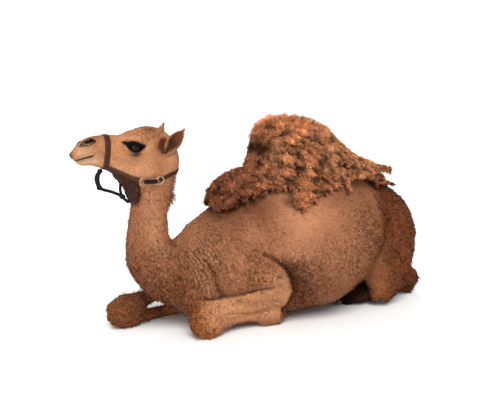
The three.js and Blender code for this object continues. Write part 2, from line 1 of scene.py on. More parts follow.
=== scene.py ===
# %% [markdown]
# # A dromedary at rest, at life size
# The camel lies on its breast with folded legs and a raised head. Its coat is shorn short, but the
# wool over the hump and the back was left on. It wears a leather halter.
#
# The lesson goes from the inside outwards: volumes of flesh, one skin drawn round them, folds and
# a finely worked head, then wool, short hair, eyes, nails and halter, and the studio at the end.
# All shapes are worked out in the millimetres of a drawing of the animal, with its nose towards -X
# and its left side at -Y, and only `make` turns them into the metres of the frame.

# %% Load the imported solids
import math
import bmesh
import bpy
import numpy as np
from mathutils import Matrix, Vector


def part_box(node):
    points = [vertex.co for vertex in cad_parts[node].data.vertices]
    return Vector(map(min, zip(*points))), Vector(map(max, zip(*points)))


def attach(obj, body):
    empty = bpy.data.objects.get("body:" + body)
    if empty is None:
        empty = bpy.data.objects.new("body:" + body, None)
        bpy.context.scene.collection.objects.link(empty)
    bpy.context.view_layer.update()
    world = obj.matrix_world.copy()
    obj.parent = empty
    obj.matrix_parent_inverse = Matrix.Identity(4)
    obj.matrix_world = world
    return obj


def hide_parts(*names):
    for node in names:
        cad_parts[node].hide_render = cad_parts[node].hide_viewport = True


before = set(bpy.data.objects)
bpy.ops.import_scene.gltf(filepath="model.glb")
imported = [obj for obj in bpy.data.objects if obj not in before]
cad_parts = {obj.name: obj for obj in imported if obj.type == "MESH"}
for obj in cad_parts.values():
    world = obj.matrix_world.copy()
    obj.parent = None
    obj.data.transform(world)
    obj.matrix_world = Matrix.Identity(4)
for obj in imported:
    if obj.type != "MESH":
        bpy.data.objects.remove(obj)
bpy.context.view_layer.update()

# %% From the drawing to the frame
NOSE_TIP = -999.06
EACH_SIDE = (("left", 1), ("right", -1))
SHIFT = np.array([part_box("head")[0][0] * 1000 - NOSE_TIP, 0, 0])


def metres(points):
    """Frame place = (drawing place + shift) / 1000."""
    return (np.asarray(points, float) + SHIFT) / 1000


def drawing(points):
    """Drawing place = frame place * 1000 - shift."""
    return np.asarray(points, float) * 1000 - SHIFT


print("the drawing's zero is at", metres([0, 0, 0]))

# %% [markdown]
# ## Tools for surfaces
# A mesh is two arrays: points, and triangles as rows of three point numbers. Working on whole
# arrays keeps half a million points fast. Every closed surface is turned so that its volume comes
# out positive, which makes its faces point outwards.

# %% Arrays to meshes
def outward(points, faces):
    """Signed volume = sum of a . (b x c) / 6 over the triangles; a negative one flips them."""
    a, b, c = (points[faces[:, k]] for k in range(3))
    volume = np.einsum("ij,ij->", a, np.cross(b, c)) / 6
    return points, faces if volume > 0 else faces[:, ::-1]


def joined(parts):
    """Surfaces laid behind one another in one pair of arrays."""
    starts = np.cumsum([0] + [len(points) for points, _ in parts])
    return (np.concatenate([points for points, _ in parts]),
            np.concatenate([faces + start for (_, faces), start in zip(parts, starts)]))


def make(name, points, faces, look=None, slot=None):
    """An object at the origin whose mesh holds the drawing's points in metres."""
    mesh = bpy.data.meshes.new(name)
    mesh.vertices.add(len(points))
    mesh.vertices.foreach_set("co", metres(points).astype(np.float32).ravel())
    mesh.loops.add(faces.size)
    mesh.loops.foreach_set("vertex_index", np.ascontiguousarray(faces, dtype=np.int32).ravel())
    mesh.polygons.add(len(faces))
    starts = np.arange(0, faces.size, faces.shape[1], dtype=np.int32)
    mesh.polygons.foreach_set("loop_start", starts)
    mesh.update(calc_edges=True)
    mesh.shade_smooth()
    obj = bpy.data.objects.new(name, mesh)
    bpy.context.scene.collection.objects.link(obj)
    if look:
        mesh.materials.append(look)
    if slot:
        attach(obj, "root")
    return obj


def read(mesh, kind="polygons"):
    """A mesh's points, in the drawing, and its faces as rows of point numbers."""
    points = np.empty(len(mesh.vertices) * 3, np.float32)
    mesh.vertices.foreach_get("co", points)
    if kind == "polygons":
        corners = np.empty(len(mesh.loops), np.int32)
        mesh.loops.foreach_get("vertex_index", corners)
        return drawing(points.reshape(-1, 3)), corners.reshape(len(mesh.polygons), -1)
    mesh.calc_loop_triangles()
    corners = np.empty(len(mesh.loop_triangles) * 3, np.int32)
    mesh.loop_triangles.foreach_get("vertices", corners)
    return drawing(points.reshape(-1, 3)), corners.reshape(-1, 3)


def finished(obj):
    """The mesh that an object's modifiers give."""
    depsgraph = bpy.context.evaluated_depsgraph_get()
    return bpy.data.meshes.new_from_object(obj.evaluated_get(depsgraph))


triangle = (np.eye(3), np.array([[0, 1, 2]]))
print("two triangles joined have", len(joined([triangle, triangle])[0]), "points")

# %% Grids and tubes
def cells(rows, columns, around=True):
    """Two triangles for each cell of a grid; around joins the last column to the first."""
    r = np.arange(rows - 1)[:, None]
    c = np.arange(columns if around else columns - 1)[None]
    a, b = r * columns + c, r * columns + (c + 1) % columns
    quads = np.stack([a, b, b + columns, a + columns], -1).reshape(-1, 4)
    return np.concatenate([quads[:, [0, 1, 2]], quads[:, [0, 2, 3]]])


def capped(grid):
    """Rings joined to a closed skin: grid[ring, corner], with a fan of triangles on each end."""
    rings, sides = grid.shape[:2]
    here = np.arange(sides)
    after = (here + 1) % sides
    last = (rings - 1) * sides
    start, end = rings * sides, rings * sides + 1
    faces = np.concatenate([
        cells(rings, sides),
        np.stack([after, here, np.full(sides, start)], 1),
        np.stack([last + here, last + after, np.full(sides, end)], 1),
    ])
    points = np.concatenate([grid.reshape(-1, 3), grid[[0, -1]].mean(1)])
    return outward(points, faces)


def unit(vectors):
    """Each vector divided by its length."""
    return vectors / np.maximum(np.linalg.norm(vectors, axis=-1, keepdims=True), 1e-9)


def tube(path, wide, thick, sides=10, side=None, up=(0, 0, 1)):
    """point(s, a) = path(s) + side * wide(s) * cos a + over * thick(s) * sin a.

    side is given, or lies across the path and level, and over is across both."""
    path = np.asarray(path, float)
    along = unit(np.gradient(path, axis=0))
    side = unit(np.cross(along, up)) if side is None else np.asarray(side, float) + 0 * path
    over = unit(np.cross(side, along))
    angle = np.arange(sides) * 2 * math.pi / sides
    wide, thick = (np.broadcast_to(np.asarray(size, float), len(path)) for size in (wide, thick))
    grid = (path[:, None]
            + side[:, None] * (wide[:, None] * np.cos(angle))[..., None]
            + over[:, None] * (thick[:, None] * np.sin(angle))[..., None])
    return capped(grid)


def ball(centre, radii, turn=0.0, rings=20, sides=32):
    """A sphere stretched to three radii, turned by so many degrees in the side view."""
    t = np.linspace(0, math.pi, rings + 2)[1:-1, None]
    a = np.arange(sides)[None] * 2 * math.pi / sides
    unit_ball = np.stack([np.sin(t) * np.cos(a), np.sin(t) * np.sin(a), np.cos(t) + 0 * a], -1)
    points = unit_ball * radii
    cos, sin = math.cos(math.radians(turn)), math.sin(math.radians(turn))
    x = points[..., 0] * cos + points[..., 2] * sin
    z = points[..., 2] * cos - points[..., 0] * sin
    return capped(np.stack([x, points[..., 1], z], -1) + centre)


print("a ball has", len(ball((0, 0, 0), (1, 1, 1))[1]), "triangles")

# %% Smooth steps, noise and lines
def above_floor(points, soft=3.0):
    """Below soft, the height z becomes soft * exp((z - soft) / soft), which never reaches 0."""
    z = points[:, 2]
    flat = np.where(z < soft, soft * np.exp((np.minimum(z, soft) - soft) / soft), z)
    return np.concatenate([points[:, :2], flat[:, None]], 1)


def step(value, low, high):
    """0 below low, 1 above high, and 3t^2 - 2t^3 between them."""
    t = np.clip((value - low) / (high - low), 0, 1)
    return t * t * (3 - 2 * t)


def fade(value, low, high):
    """1 below low and 0 above high."""
    return 1 - step(value, low, high)


def peak(value, middle, width):
    """A bell over one number: exp(-((value - middle) / width) ^ 2)."""
    return np.exp(-((value - middle) / width) ** 2)


def noise(points, size, seed=0, waves=14):
    """A smooth random field: the sum of plane waves in random directions, about size long."""
    draw = np.random.default_rng(seed)
    ways = (unit(draw.normal(size=(waves, 3))) * (2 * math.pi / size)
            * draw.uniform(0.6, 1.5, (waves, 1)))
    starts = draw.uniform(0, 2 * math.pi, waves)
    return np.sin(points @ ways.T + starts).sum(1) / math.sqrt(waves / 2)


def drift(points, size, seeds):
    """A smooth random vector field, with one noise for each direction."""
    return np.stack([noise(points, size, seed) for seed in seeds], 1)


def spline(knots, count):
    """A Catmull-Rom curve through rows of numbers: cubic pieces whose slope at a knot is half the
    step from the knot before to the knot after."""
    knots = np.asarray(knots, float)
    k = np.concatenate([[2 * knots[0] - knots[1]], knots, [2 * knots[-1] - knots[-2]]])
    s = np.linspace(0, len(knots) - 1, count)
    i = np.minimum(s.astype(int), len(knots) - 2)
    f = (s - i)[:, None]
    a, b, c, d = k[i], k[i + 1], k[i + 2], k[i + 3]
    return b + 0.5 * f * (c - a + f * (2 * a - 5 * b + 4 * c - d + f * (3 * b - a - 3 * c + d)))


def line_distance(places, line):
    """Distance from each place in the side view to a line through points, and how far along it."""
    line = np.asarray(line, float)
    best, where = np.full(len(places), np.inf), np.zeros(len(places))
    for i, (a, b) in enumerate(zip(line[:-1], line[1:])):
        t = np.clip((places - a) @ (b - a) / ((b - a) @ (b - a)), 0, 1)
        away = np.linalg.norm(places - a - t[:, None] * (b - a), axis=1)
        where = np.where(away < best, (i + t) / (len(line) - 1), where)
        best = np.minimum(best, away)
    return best, where


def outline_depth(places, outline):
    """How deep a place lies in an outline of the side view, negative outside it."""
    outline = np.asarray(outline, float)
    x, z = places.T
    inside = np.zeros(len(places), bool)
    for (ax, az), (bx, bz) in zip(outline, np.roll(outline, -1, 0)):
        crosses = ((az > z) != (bz > z)) & (x < ax + (z - az) / (bz - az + 1e-9) * (bx - ax))
        inside ^= crosses
    away, _ = line_distance(places, np.vstack([outline, outline[:1]]))
    return np.where(inside, away, -away)


print("half way up a step:", step(0.5, 0, 1))

# %% [markdown]
# ## Volumes of flesh
# A neck, a trunk or a leg is a row of rings. Each ring hangs between a high and a low point of the
# side view, so the animal's outline is drawn directly, and its width says the rest. The ring is a
# superellipse, which can be round or boxy, and its widest place can sit low, as on a belly. Curves
# through the rings' sizes fill in all rings between them.

# %% Rings between a high and a low line
LOFT_SIDES = 56
CAP_RINGS = 7


def stations(*rows):
    """Rows of x and z of the high point, x and z of the low point, distance to the left of the
    middle plane, half width, share of the height where it is widest, and the ring's power."""
    return np.array([list(row) + [0.5, 2.0][len(row) - 6:] for row in rows], float)


def loft(rows, ends, grow=0.0, spacing=14.0):
    """point(t, a) = middle(t) + Y * w(t) * c(a) + up(t) * lift(a), where c and the lift are cos a
    and sin a raised to 2 / power. At the ends the rings shrink by cos and move out by sin."""
    length = np.linalg.norm(np.diff(rows[:, [0, 1]] + rows[:, [2, 3]], axis=0), axis=1).sum() / 2
    track = spline(rows, max(8, int(length / spacing)))
    turn = np.linspace(0, math.pi / 2, CAP_RINGS + 2)[1:-1]
    scale = np.concatenate([np.cos(turn[::-1]), np.ones(len(track)), np.cos(turn)])
    middle = np.stack([track[:, [0, 2]].mean(1), -track[:, 4], track[:, [1, 3]].mean(1)], 1)
    out = unit(np.stack([middle[0] - middle[1], middle[-1] - middle[-2]]))
    reach = [end + grow for end in ends]
    shift = np.concatenate([
        out[0] * np.sin(turn[::-1])[:, None] * reach[0],
        np.zeros((len(track), 3)),
        out[1] * np.sin(turn)[:, None] * reach[1],
    ])
    pad = (CAP_RINGS, CAP_RINGS)
    track = np.pad(track, (pad, (0, 0)), mode="edge")
    middle = np.pad(middle, (pad, (0, 0)), mode="edge")
    up = np.stack([track[:, 0] - track[:, 2], np.zeros(len(track)), track[:, 1] - track[:, 3]], 1)
    height = np.linalg.norm(up, axis=1)
    up = unit(up)
    width, widest, power = track[:, 5:].T
    angle = np.arange(LOFT_SIDES)[None] * 2 * math.pi / LOFT_SIDES
    curved = lambda wave: np.sign(wave) * np.abs(wave) ** (2 / power[:, None])
    across = curved(np.cos(angle)) * (width[:, None] + grow)
    lift = curved(np.sin(angle))
    waist = ((widest - 0.5) * height)[:, None]
    half = height[:, None] / 2 + grow
    rise = waist + lift * np.where(lift > 0, half - waist, half + waist)
    sideways = np.array([0, 1.0, 0])
    grid = (middle + shift)[:, None] + scale[:, None, None] * (
        across[..., None] * sideways + rise[..., None] * up[:, None])
    return capped(grid)


def mirrored(part):
    """The same closed surface on the other side of the middle plane."""
    points, faces = part
    return points * [1, -1, 1], faces[:, ::-1]


print("a station with its last two numbers left out:", stations((0, 9, 0, 1, 0, 4))[0])

# %% [markdown]
# The trunk is three of these volumes: the barrel of chest and rump, the belly that is pressed wide
# by the animal's weight, and the hump, which is fat and stands on the back like a ridge.

# %% Trunk, hump, neck and tail
trunk_rows = stations(
    (-472, 415, -505, 190, 0, 115), (-440, 470, -440, 95, 0, 175, 0.45),
    (-360, 518, -370, 40, 0, 222, 0.42), (-240, 608, -270, -4, 0, 255, 0.42),
    (-90, 705, -120, -4, 0, 285, 0.42), (80, 780, 60, -4, 0, 308, 0.42),
    (260, 812, 250, 0, 0, 330, 0.42), (440, 805, 440, 14, 0, 330, 0.42),
    (620, 762, 620, 66, 0, 292, 0.45, 2.1), (790, 700, 780, 110, 0, 250, 0.48),
    (900, 636, 885, 135, 0, 228, 0.48), (985, 565, 965, 170, 0, 198, 0.48),
    (1040, 465, 1015, 220, 0, 145))
belly_rows = stations(
    (-100, 600, -100, 60, 0, 240, 0.42), (40, 690, 40, 6, 0, 322, 0.4),
    (190, 735, 190, 0, 0, 378, 0.4), (330, 745, 330, 6, 0, 412, 0.4, 2.1),
    (440, 738, 440, 44, 0, 420, 0.42), (535, 720, 530, 120, 0, 405, 0.45),
    (620, 680, 612, 210, 0, 355, 0.48), (682, 610, 672, 320, 0, 270))
hump_rows = stations(
    (25, 880, 45, 640, 0, 90, 0.3), (45, 975, 60, 600, 0, 140, 0.35),
    (110, 1035, 110, 600, 0, 172, 0.35), (200, 1050, 200, 600, 0, 186, 0.35),
    (320, 1032, 320, 600, 0, 192, 0.35), (460, 965, 460, 600, 0, 190, 0.35),
    (610, 855, 600, 600, 0, 170, 0.35), (760, 760, 740, 600, 0, 130, 0.35))
neck_rows = stations(
    (-330, 560, -330, 100, 0, 170), (-420, 495, -400, 105, 0, 158), (-464, 480, -505, 140, 0, 138),
    (-482, 495, -615, 215, 0, 120), (-492, 520, -690, 340, 0, 104), (-496, 560, -712, 475, 0, 92),
    (-494, 620, -703, 585, 0, 84), (-482, 700, -690, 680, 0, 78), (-452, 790, -672, 760, 0, 80),
    (-440, 880, -640, 850, 0, 84))
tail_rows = stations(
    (1030, 560, 1005, 500, 0, 34), (1085, 500, 1035, 470, -13, 28), (1118, 400, 1072, 395, -35, 22),
    (1122, 300, 1084, 300, -57, 18), (1115, 200, 1082, 205, -79, 15),
    (1112, 110, 1086, 112, -98, 11))


def trunk(grow=0.0):
    """The barrel, the belly and the hump, as three closed surfaces that overlap."""
    return [loft(trunk_rows, (30, 40), grow), loft(belly_rows, (60, 30), grow),
            loft(hump_rows, (20, 40), grow)]


print("trunk points:", sum(len(points) for points, _ in trunk()))

# %% [markdown]
# The legs are folded under the animal. In front the forearm lies forward on the floor, the knee
# pad carries the weight, and the cannon folds back beside it. Behind, the thigh and the shank
# stand almost together and the hock points backwards.

# %% Legs
left_fore_rows = [
    (stations((-215, 590, -330, 430, 116, 55), (-180, 515, -350, 270, 196, 78),
              (-40, 412, -215, 170, 236, 90), (62, 335, -80, 150, 238, 82),
              (112, 258, 50, 130, 232, 68)), (30, 20)),
    (stations((100, 240, 98, 92, 222, 60), (0, 236, 0, 104, 218, 62),
              (-120, 226, -120, 92, 212, 56), (-220, 205, -220, 80, 206, 50),
              (-300, 190, -300, 60, 202, 52)), (30, 20)),
    (stations((-290, 184, -290, 12, 200, 52, 0.5, 2.3), (-340, 186, -330, -6, 200, 60, 0.45, 2.5),
              (-390, 182, -385, -6, 200, 64, 0.42, 2.5), (-432, 160, -425, 14, 200, 56, 0.42, 2.3)),
     (20, 32)),
    (stations((-330, 95, -330, 5, 198, 42), (-240, 96, -240, 34, 196, 33),
              (-140, 98, -140, 38, 196, 32), (-40, 98, -40, 14, 196, 40)), (20, 20)),
    (stations((-60, 98, -60, 8, 196, 42), (-5, 110, -5, -5, 198, 52, 0.42, 2.3),
              (48, 108, 48, -2, 200, 53, 0.42, 2.3), (76, 90, 78, 20, 200, 44, 0.42)), (20, 16)),
]
right_fore_rows = [
    (stations((-220, 570, -330, 430, 112, 55), (-225, 470, -385, 270, 194, 76),
              (-200, 380, -370, 170, 225, 84), (-150, 310, -290, 140, 222, 76),
              (-130, 250, -210, 120, 215, 66)), (30, 25)),
    (stations((-150, 240, -150, 95, 205, 60), (-280, 215, -280, 100, 195, 56),
              (-400, 200, -400, 108, 182, 48), (-500, 186, -500, 108, 170, 44),
              (-590, 178, -590, 80, 162, 48)), (30, 20)),
    (stations((-580, 176, -580, 12, 160, 48, 0.5, 2.3), (-640, 180, -630, -6, 158, 56, 0.45, 2.5),
              (-700, 174, -695, -6, 158, 60, 0.42, 2.5), (-745, 150, -738, 14, 158, 52, 0.42, 2.3)),
     (20, 34)),
    (stations((-640, 80, -640, 4, 152, 38), (-560, 78, -560, 8, 158, 32),
              (-450, 76, -450, 6, 170, 31), (-340, 80, -340, 4, 184, 38)), (20, 20)),
    (stations((-350, 90, -350, 6, 184, 42), (-295, 104, -295, -5, 188, 52, 0.42, 2.3),
              (-252, 102, -252, -2, 190, 53, 0.42, 2.3), (-228, 85, -226, 20, 190, 44, 0.42)),
     (20, 16)),
]
hind_rows = [
    (stations((850, 640, 978, 400, 106, 100), (770, 560, 955, 290, 185, 118),
              (695, 430, 912, 190, 218, 116), (640, 290, 850, 90, 240, 100),
              (618, 190, 750, 20, 248, 78)), (30, 40)),
    (stations((655, 150, 665, 20, 235, 60), (770, 148, 770, 36, 205, 56),
              (890, 150, 890, 50, 172, 48), (975, 160, 980, 50, 155, 44)), (20, 20)),
    (stations((930, 160, 930, 14, 156, 42), (990, 172, 985, -4, 148, 46, 0.45, 2.3),
              (1035, 140, 1030, 22, 142, 40, 0.45)), (20, 26)),
    (stations((990, 85, 990, 6, 145, 38), (880, 78, 880, 10, 138, 32), (760, 76, 760, 10, 130, 32),
              (660, 82, 660, 6, 124, 38)), (20, 20)),
    (stations((680, 88, 680, 6, 124, 42), (605, 96, 605, -5, 124, 54, 0.42, 2.3),
              (540, 84, 540, -3, 124, 54, 0.42, 2.3), (508, 64, 506, 14, 124, 44, 0.42)), (20, 18)),
]
COAT = 3.0


def legs():
    """The four folded legs, smaller than the solids by the depth of the short coat."""
    made = [loft(rows, ends, -COAT) for rows, ends in left_fore_rows]
    made += [mirrored(loft(rows, ends, -COAT)) for rows, ends in right_fore_rows]
    for rows, ends in hind_rows:
        made += [loft(rows, ends, -COAT), mirrored(loft(rows, ends, -COAT))]
    return made


print("leg pieces:", len(legs()))

# %% [markdown]
# The head is a long wedge: a deep, rounded brain case, a bulging brow over each eye, a narrow
# muzzle with a slightly arched nose, and a loose lower lip. The upper volume runs from the poll to
# the split upper lip, the lower one is the jaw, and a few round masses stand for brows, cheek
# muscles and nostrils.

# %% Head
skull_rows = stations(
    (-989, 988, -993, 966, 0, 22, 0.4), (-965, 1013, -974, 948, 0, 40, 0.4, 2.3),
    (-929, 1044, -938, 945, 0, 50, 0.45, 2.3), (-888, 1058, -892, 945, 0, 50, 0.45, 2.3),
    (-837, 1061, -850, 935, 0, 47, 0.45, 2.3), (-786, 1059, -800, 920, 0, 52, 0.45, 2.3),
    (-734, 1055, -750, 900, 0, 62, 0.5, 2.3), (-681, 1067, -700, 880, 0, 80, 0.55, 2.3),
    (-630, 1083, -660, 850, 0, 92, 0.55, 2.2), (-573, 1082, -600, 800, 0, 92, 0.55, 2.2),
    (-508, 1060, -540, 760, 0, 88, 0.55), (-460, 1015, -490, 770, 0, 76, 0.55),
    (-438, 960, -460, 800, 0, 60, 0.55))
jaw_rows = stations(
    (-957, 950, -958, 930, 0, 26), (-938, 960, -940, 919, 0, 36), (-895, 970, -900, 917, 0, 40),
    (-850, 970, -857, 903, 0, 44), (-800, 970, -808, 886, 0, 48), (-750, 970, -768, 855, 0, 56),
    (-700, 960, -728, 815, 0, 64), (-650, 950, -690, 775, 0, 70), (-580, 940, -620, 750, 0, 74))
EYE = np.array([-697.0, -82.0, 1001.0])
EYE_RADIUS = 26.0
head_masses = [
    ball((-690, -66, 1004), (62, 34, 42)),
    ball((-610, -56, 890), (84, 30, 74), -20),
    ball((-668, -48, 1038), (54, 38, 24), -12),
    ball(EYE, (36, 30, 31)),
    ball((-908, -38, 1036), (34, 14, 12), -8),
]
head = [loft(skull_rows, (8, 14), -COAT / 2), loft(jaw_rows, (10, 20), -COAT / 2)]
head += head_masses + [mirrored(mass) for mass in head_masses]
print("head masses:", len(head))

# %% [markdown]
# ## One skin
# A real animal has no joint lines, so the volumes are wrapped in one surface. Blender's voxel
# Remesh keeps the outside of overlapping closed meshes and gives even quads. The creases where
# volumes meet are then relaxed: each point moves towards the mean of its neighbours, many times on
# the trunk, where flesh is soft and thick, and only a few times on the head and the thin legs.

# %% Wrap and relax
SKIN_VOXEL = 7.5


def wrapped(parts, voxel):
    """One closed surface of quads round all the parts."""
    obj = make("wrap", *joined(parts))
    remesh = obj.modifiers.new("wrap", "REMESH")
    remesh.mode = "VOXEL"
    remesh.voxel_size = voxel / 1000
    mesh = finished(obj)
    bpy.data.objects.remove(obj)
    return mesh


def relax(points, edges, share, rounds):
    """Each round: point += share * (mean of its neighbours - point)."""
    a, b = edges.T
    count = np.bincount(edges.ravel(), minlength=len(points))[:, None]
    for _ in range(rounds):
        total = np.stack([
            np.bincount(a, points[b, k], len(points)) + np.bincount(b, points[a, k], len(points))
            for k in range(3)], 1)
        points = points + share[:, None] * (total / count - points)
    return points


def edges_of(mesh):
    """Each edge as a row of its two point numbers."""
    ends = np.empty(len(mesh.edges) * 2, np.int32)
    mesh.edges.foreach_get("vertices", ends)
    return ends.reshape(-1, 2)


def put_points(mesh, points):
    """Moves a mesh's points to places of the drawing."""
    mesh.vertices.foreach_set("co", metres(points).astype(np.float32).ravel())
    mesh.update()


flank_fold = ball((612, -105, 62), (105, 130, 62))
skin_parts = [*trunk(-COAT), flank_fold, mirrored(flank_fold), loft(neck_rows, (20, 20), -COAT),
              loft(tail_rows, (20, 10), -COAT)]
skin_mesh = wrapped(skin_parts + legs() + head, SKIN_VOXEL)
points, quads = read(skin_mesh)
print("wrapped skin:", len(points), "points")

# %% Soften the trunk most
def headness(points):
    """1 on the head, 0 below it: how far a place is above the line from the chin to the nape."""
    x, _, z = points.T
    return step(z - (735 + 0.5 * (x + 700)), -30, 60) * step(-x, 380, 430)


def trunk_share(points):
    """1 where flesh is thick, less on the legs and the head."""
    x, y, z = points.T
    fore = step(np.abs(y), 120, 170) * fade(z, 300, 400) * fade(x, 120, 190)
    hind = step(x, 560, 640) * fade(z, 230, 330)
    thick = step(z, 90, 230) * (0.25 + 0.75 * step(x, -560, -380))
    return thick * (1 - 0.96 * headness(points)) * (1 - 0.85 * fore) * (1 - 0.7 * hind)


share = 0.5 * trunk_share(points)
points = relax(points, edges_of(skin_mesh), share, 30)
points = relax(points, edges_of(skin_mesh), np.full(len(points), 0.45), 3)
put_points(skin_mesh, points)
print("relaxed skin reaches", points.min(0).round(), points.max(0).round())

# %% [markdown]
# ## Folds, lids, nostrils and lips
# The face needs far smaller faces than the flank, so the faces near the eyes, the nostrils and the
# mouth are cut into smaller ones. Their points are then moved by formulas. Left and right are
# folded on one another first, so each formula is written for the left side only.

# %% Finer faces where the skin is worked
EYE_SPOT = (-700, -86, 1000)
FINE_SPOTS = [(EYE_SPOT, 78), ((-925, -36, 1030), 58), ((-930, -30, 960), 75), ((-985, 0, 965), 45)]
FINEST_SPOTS = [(EYE_SPOT, 38)]


def folded(points):
    """Both sides laid on the left one: y becomes -|y|."""
    return points * [1, 0, 1] - np.abs(points * [0, 1, 0])


def cut_finer(mesh, wanted):
    """Cuts the faces whose middles wanted picks, and makes triangles of faces with more than four
    corners.
    """
    bm = bmesh.new()
    bm.from_mesh(mesh)
    centres = drawing([face.calc_center_median() for face in bm.faces])
    faces = [face for face, pick in zip(bm.faces, wanted(centres)) if pick]
    edges = list({edge for face in faces for edge in face.edges})
    bmesh.ops.subdivide_edges(bm, edges=edges, cuts=1, use_grid_fill=True, smooth=0.0)
    bmesh.ops.triangulate(bm, faces=[face for face in bm.faces if len(face.verts) > 4])
    bm.to_mesh(mesh)
    bm.free()


def near_spots(places, spots):
    """Which places lie within a spot's reach of it, on either side."""
    places = folded(places)
    return np.any([np.linalg.norm(places - spot, axis=1) < reach for spot, reach in spots], axis=0)


def on_wrinkles(places):
    """The wrinkled skin between the neck and the shoulder, on the upper arm and at the elbow."""
    x, y, z = places.T
    shoulder = (x > -480) & (x < -270) & (z > 190) & (z < 560) & (np.abs(y) > 60)
    return shoulder | (x > -280) & (x < 110) & (z > 60) & (z < 430) & (np.abs(y) > 200)


cut_finer(skin_mesh, lambda c: (headness(c) > 0.3) | on_wrinkles(c))
cut_finer(skin_mesh, lambda c: near_spots(c, FINE_SPOTS))
cut_finer(skin_mesh, lambda c: near_spots(c, FINEST_SPOTS))
points, _ = read(skin_mesh, "triangles")
points = relax(points, edges_of(skin_mesh), np.where(headness(points) > 0.3, 0.4, 0.0), 3)
print("cut skin:", len(points), "points")

# %% The eye's opening and its lids
EYE_OPENING = spline([(-725, 1009), (-713, 1019), (-697, 1021), (-681, 1015), (-667, 1000),
                      (-681, 988), (-698, 985), (-715, 992), (-725, 1009)], 49)[:-1]
LID_THICKNESS = 3.2


def lids(points):
    """Near the eye the skin follows a ball a lid's thickness larger than the eyeball, sinks behind
    the eyeball inside the opening, and carries folds at fixed distances round the opening."""
    left = folded(points)
    from_eye = left[:, [0, 2]] - EYE[[0, 2]]
    reach = np.hypot(from_eye[:, 0], from_eye[:, 1] * 1.12)
    depth = outline_depth(left[:, [0, 2]], EYE_OPENING)
    lid = -EYE[1] + np.sqrt(np.maximum((EYE_RADIUS + LID_THICKNESS) ** 2 - (from_eye**2).sum(1), 0))
    out = -left[:, 1]
    here = (out > 40) & (reach < 60)
    out_new = out + fade(reach, 24, 36) * (lid - out)
    above = step(from_eye[:, 1], -4, 8)
    beyond = -depth
    rim = 2.6 * peak(beyond, 3.0, 2.2)
    upper = -3.4 * above * peak(beyond, 9.5, 2.4) + 3.0 * above * peak(beyond, 17, 5)
    lower = (1 - above) * (-1.8 * peak(beyond, 8, 1.8) - 1.6 * peak(beyond, 14, 2)
                           - 1.2 * peak(beyond, 20, 2.2))
    out_new += np.where(depth < 0, rim + upper + lower, 0)
    sunk = step(depth, -1.0, 2.4) * (out_new + EYE[1] + 10)
    out_new = np.where(depth > -1.0, out_new - sunk, out_new)
    moved = np.where(here, out_new, out)
    return np.stack([points[:, 0], np.sign(points[:, 1]) * moved, points[:, 2]], 1)


points = np.where(headness(points)[:, None] > 0.5, lids(points), points)
print("eye opening:", np.ptp(EYE_OPENING, axis=0).round(), "mm")

# %% Nostrils, mouth and the split lip
NOSTRIL_TOP = spline([(-950, 1025), (-938, 1040), (-920, 1050), (-898, 1053), (-880, 1042)], 20)
NOSTRIL_FLAP = spline([(-950, 1025), (-930, 1032), (-910, 1035), (-893, 1039), (-880, 1042)], 20)
NOSTRIL_BOTTOM = spline([(-951, 1019), (-930, 1023), (-912, 1026), (-895, 1031), (-881, 1037)], 20)
NOSTRIL = np.vstack([NOSTRIL_TOP, NOSTRIL_FLAP[-2:0:-1]])
MOUTH = spline([(-1012, 950), (-985, 951), (-965, 954), (-940, 961), (-910, 966), (-878, 973)], 24)


def inward(points, normals, depth):
    """Moves points against their normals."""
    return points - normals * depth[:, None]


def muzzle(points, normals):
    """The nostril sinks inside its outline, and grooves with a bell-shaped section run under its
    flap, along the mouth and down the middle of the upper lip."""
    side = folded(points)
    places = side[:, [0, 2]]
    outer = step(-side[:, 1], 12, 26)
    hole = outline_depth(places, NOSTRIL)
    bottom, below = line_distance(places, NOSTRIL_BOTTOM)
    pinch = np.sqrt(np.sin(math.pi * np.clip(below, 0.03, 0.97)))
    depth = outer * (10.0 * step(hole, -0.5, 4.5) - 2.5 * peak(hole, -3.5, 3))
    depth += outer * pinch * 5.0 * peak(bottom, 0, 2.2)
    mouth, back = line_distance(places, MOUTH)
    depth += fade(back, 0.9, 1.0) * (8.0 * peak(mouth, 0, 2.4) - 2.0 * peak(mouth, 8, 5))
    in_front = fade(points[:, 0], -985, -955)
    depth += in_front * 6.0 * peak(points[:, 1], 0, 2.6) * step(points[:, 2], 945, 955)
    return inward(points, normals, depth)


def normals_of(mesh):
    """Each point's normal."""
    normals = np.empty(len(mesh.vertices) * 3, np.float32)
    mesh.vertex_normals.foreach_get("vector", normals)
    return normals.reshape(-1, 3)


put_points(skin_mesh, points)
at_head = headness(points)[:, None] > 0.5
points = np.where(at_head, muzzle(points, normals_of(skin_mesh)), points)
put_points(skin_mesh, points)
print("nostril", round(float(np.ptp(NOSTRIL_TOP[:, 0]))), "mm long")

# %% [markdown]
# The hide of a lying camel is loose. Where the neck bends into the shoulder it gathers into many
# fine pleats, behind the elbow it hangs in short curls, and above the knee it folds. These are
# waves across the pleats' direction, whose phase is disturbed by noise so that no two are alike.

# %% Creases between the folded parts
LEFT_ELBOW = [(-70, 420), (0, 372), (32, 335), (60, 280), (80, 205), (78, 127), (58, 50)]
RIGHT_ELBOW = [(-200, 400), (-150, 330), (-116, 250), (-108, 180), (-125, 110)]
